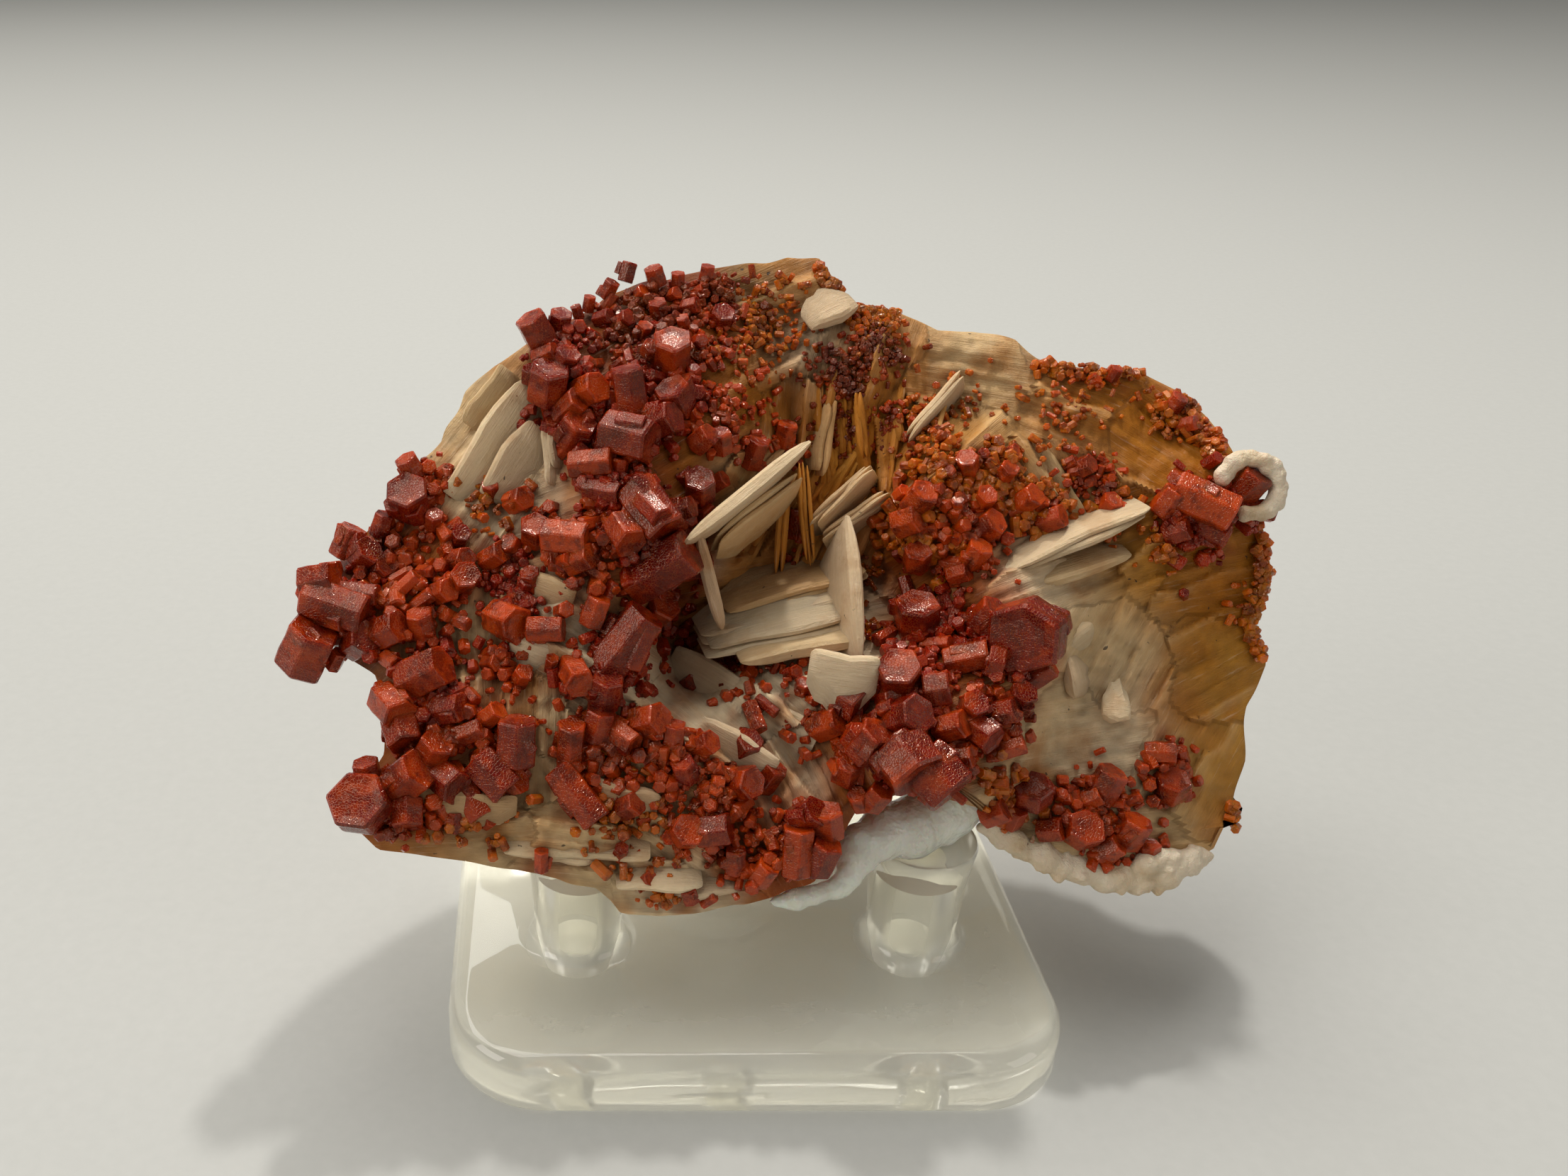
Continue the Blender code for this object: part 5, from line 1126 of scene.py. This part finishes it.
def crusts():
    """The grainy crust along the lower right edge and the loop of it at the far right."""
    balls = along_path(EDGE_CRUST, 0.8, 14)
    blob("crust_edge", balls, 0.17, 0.05, crust, "barite_matrix", 51)
    middle_across, middle_up, out = RING_CENTRE
    ring = []
    for angle in np.radians(np.linspace(-100, 165, 12)):
        across = middle_across + RING_RADIUS * math.cos(angle)
        up = middle_up + RING_RADIUS * math.sin(angle)
        ring.append((across, up, out, RING_THICKNESS))
    blob("crust_ring", along_path(ring, 0.12), 0.15, 0.03, crust, "barite_matrix", 53)


def glue():
    """The set adhesive between the rock and the right post, with its hanging lobes."""
    balls = along_path(GLUE, 0.6)
    blob("glue_blob", balls, 0.3, 0.08, adhesive, "glue_right", 57)


def turned(name, profile, x, y):
    """A closed turned body about an upright line: profile is (radius, z) from the bottom up."""
    points = []
    for radius, z in profile:
        for i in range(ROUND_SIDES):
            angle = 2 * math.pi * i / ROUND_SIDES
            side_x, side_y = x + radius * math.cos(angle), y + radius * math.sin(angle)
            points.append((side_x * MM, side_y * MM, z * MM))
    return placed(name, meshed(name, points, tube_faces(len(profile), ROUND_SIDES, flip=True)))


def stand():
    """The moulded stand in one piece: plate, posts and the blind hole under each post."""
    outline = []
    for quarter in range(4):
        sign_x, sign_y = (1, 1, -1, -1)[(quarter + 1) % 4], (1, 1, -1, -1)[quarter]
        middle = (sign_x * (PLATE_WIDTH / 2 - PLATE_CORNER), sign_y * (PLATE_DEPTH / 2 - PLATE_CORNER))
        for step in range(17):
            angle = math.radians(90 * quarter + 90 * step / 16)
            outline.append((*middle, math.cos(angle), math.sin(angle)))
    levels = [(0.4, 0.0), (0.12, 0.12), (0.0, 0.4)]
    for step in range(9):
        angle = math.radians(90 * step / 8)
        inset, drop = PLATE_EDGE * (1 - math.cos(angle)), PLATE_EDGE * (1 - math.sin(angle))
        levels.append((inset, PLATE_THICKNESS - drop))
    points = []
    for inset, z in levels:
        for middle_x, middle_y, way_x, way_y in outline:
            reach = PLATE_CORNER - inset
            points.append(((middle_x + way_x * reach) * MM, (middle_y + way_y * reach) * MM, z * MM))
    faces = tube_faces(len(levels), len(outline), flip=True)
    obj = placed("stand_clear", meshed("stand_clear", points, faces))
    extras = []
    for number, (x, y) in enumerate(POSTS):
        profile = [(POST_FOOT + POST_FILLET, PLATE_THICKNESS - 0.6)]
        for step in range(9):
            angle = math.radians(90 * step / 8)
            radius = POST_FOOT + POST_FILLET * (1 - math.sin(angle))
            profile.append((radius, PLATE_THICKNESS + POST_FILLET * (1 - math.cos(angle))))
        profile += [(POST_FOOT + 0.25, 9.5), (POST_FOOT + 0.5, 12.4), (POST_HEAD, POST_TOP_Z - 0.4)]
        profile += [(POST_HEAD - 0.12, POST_TOP_Z - 0.12), (POST_HEAD - 0.4, POST_TOP_Z)]
        extras.append((turned(f"post_{number}", profile, x, y), "UNION"))
        bore = ((BORE_RADIUS + 0.3, -1.0), (BORE_RADIUS, BORE_TOP_Z))
        extras.append((turned(f"bore_{number}", bore, x, y), "DIFFERENCE"))
    for operation in ("UNION", "DIFFERENCE"):
        for extra, kind in extras:
            if kind == operation:
                cut = obj.modifiers.new("join", "BOOLEAN")
                cut.operation, cut.object, cut.solver = operation, extra, "EXACT"
                bpy.context.view_layer.objects.active = obj
                bpy.ops.object.modifier_apply(modifier="join")
    for extra, _ in extras:
        bpy.data.objects.remove(extra)
    obj.data.shade_smooth()
    obj.data.set_sharp_from_angle(angle=math.radians(35))
    obj.data.materials.clear()
    obj.data.materials.append(plastic)
    obj.visible_shadow = False  # light passes through clear plastic, so the floor under it stays lit
    belongs(obj, "display_stand")


def blades():
    """All that stands on the rock's face as separate laths: blades, broad sheets and small laths."""
    heap = Heap()
    for start, end, thickness, depth, lean, colour, leaves in BLADES:
        book(heap, start, end, thickness, depth, lean, colour, leaves)
    for start, end, thickness, width, lean, colour in SHEETS:
        first = (*start, float(relief(*start)) + SHEET_LIFT)
        second = (*end, float(relief(*end)) + SHEET_LIFT)
        book(heap, first, second, thickness, width, lean, colour, 1)
    small_laths(heap)
    return heap.build("barite_blades", barite, "barite", "barite_matrix", 32)


def area_light(name, place, aim, size, power, colour):
    """A soft light of the given width and height."""
    data = bpy.data.lights.new(name, "AREA")
    data.shape = "RECTANGLE"
    data.size, data.size_y = size
    data.energy = power
    data.color = colour
    obj = placed(name, data)
    obj.location = place
    obj.rotation_euler = (Vector(aim) - Vector(place)).to_track_quat("-Z", "Y").to_euler()


def studio():
    """The camera at the photograph's place, the pale floor, soft lights and the surrounding glow."""
    scene = bpy.context.scene
    camera = bpy.data.cameras.new("camera")
    camera.sensor_width = SENSOR_WIDTH
    camera.lens = PLANE_DEPTH * PIXELS_PER_MM / IMAGE_WIDTH * SENSOR_WIDTH
    camera.shift_x = SIGHT_AXIS_LEFT * PIXELS_PER_MM / IMAGE_WIDTH
    camera.clip_start, camera.clip_end = 0.005, 20.0
    obj = placed("camera", camera)
    obj.location = EYE * MM
    obj.rotation_euler = (math.pi / 2 - PITCH, 0.0, 0.0)
    scene.camera = obj
    sides = ((-1, -1), (1, -1), (1, 1), (-1, 1))
    corners = [(x * FLOOR_REACH, y * FLOOR_REACH, FLOOR_Z) for x, y in sides]
    floor = placed("floor", meshed("floor", corners, [(0, 1, 2, 3)]))
    floor.data.materials.append(floor_material())
    for light in LIGHTS:
        area_light(*light)
    world = bpy.data.worlds.new("studio")
    world.use_nodes = True
    glow = world.node_tree.nodes["Background"]
    glow.inputs["Color"].default_value = GLOW_COLOUR
    glow.inputs["Strength"].default_value = GLOW_STRENGTH
    scene.world = world
    scene.view_settings.view_transform = "Standard"


studio()
barite, vanadinite, crust = barite_material(), vanadinite_material(), crust_material()
adhesive, plastic = adhesive_material(), plastic_material()
rock_body()
blades()
for cluster_name, cluster_crystals in CRYSTALS.items():
    cluster(cluster_name, cluster_crystals)
druses()
crusts()
glue()
stand()
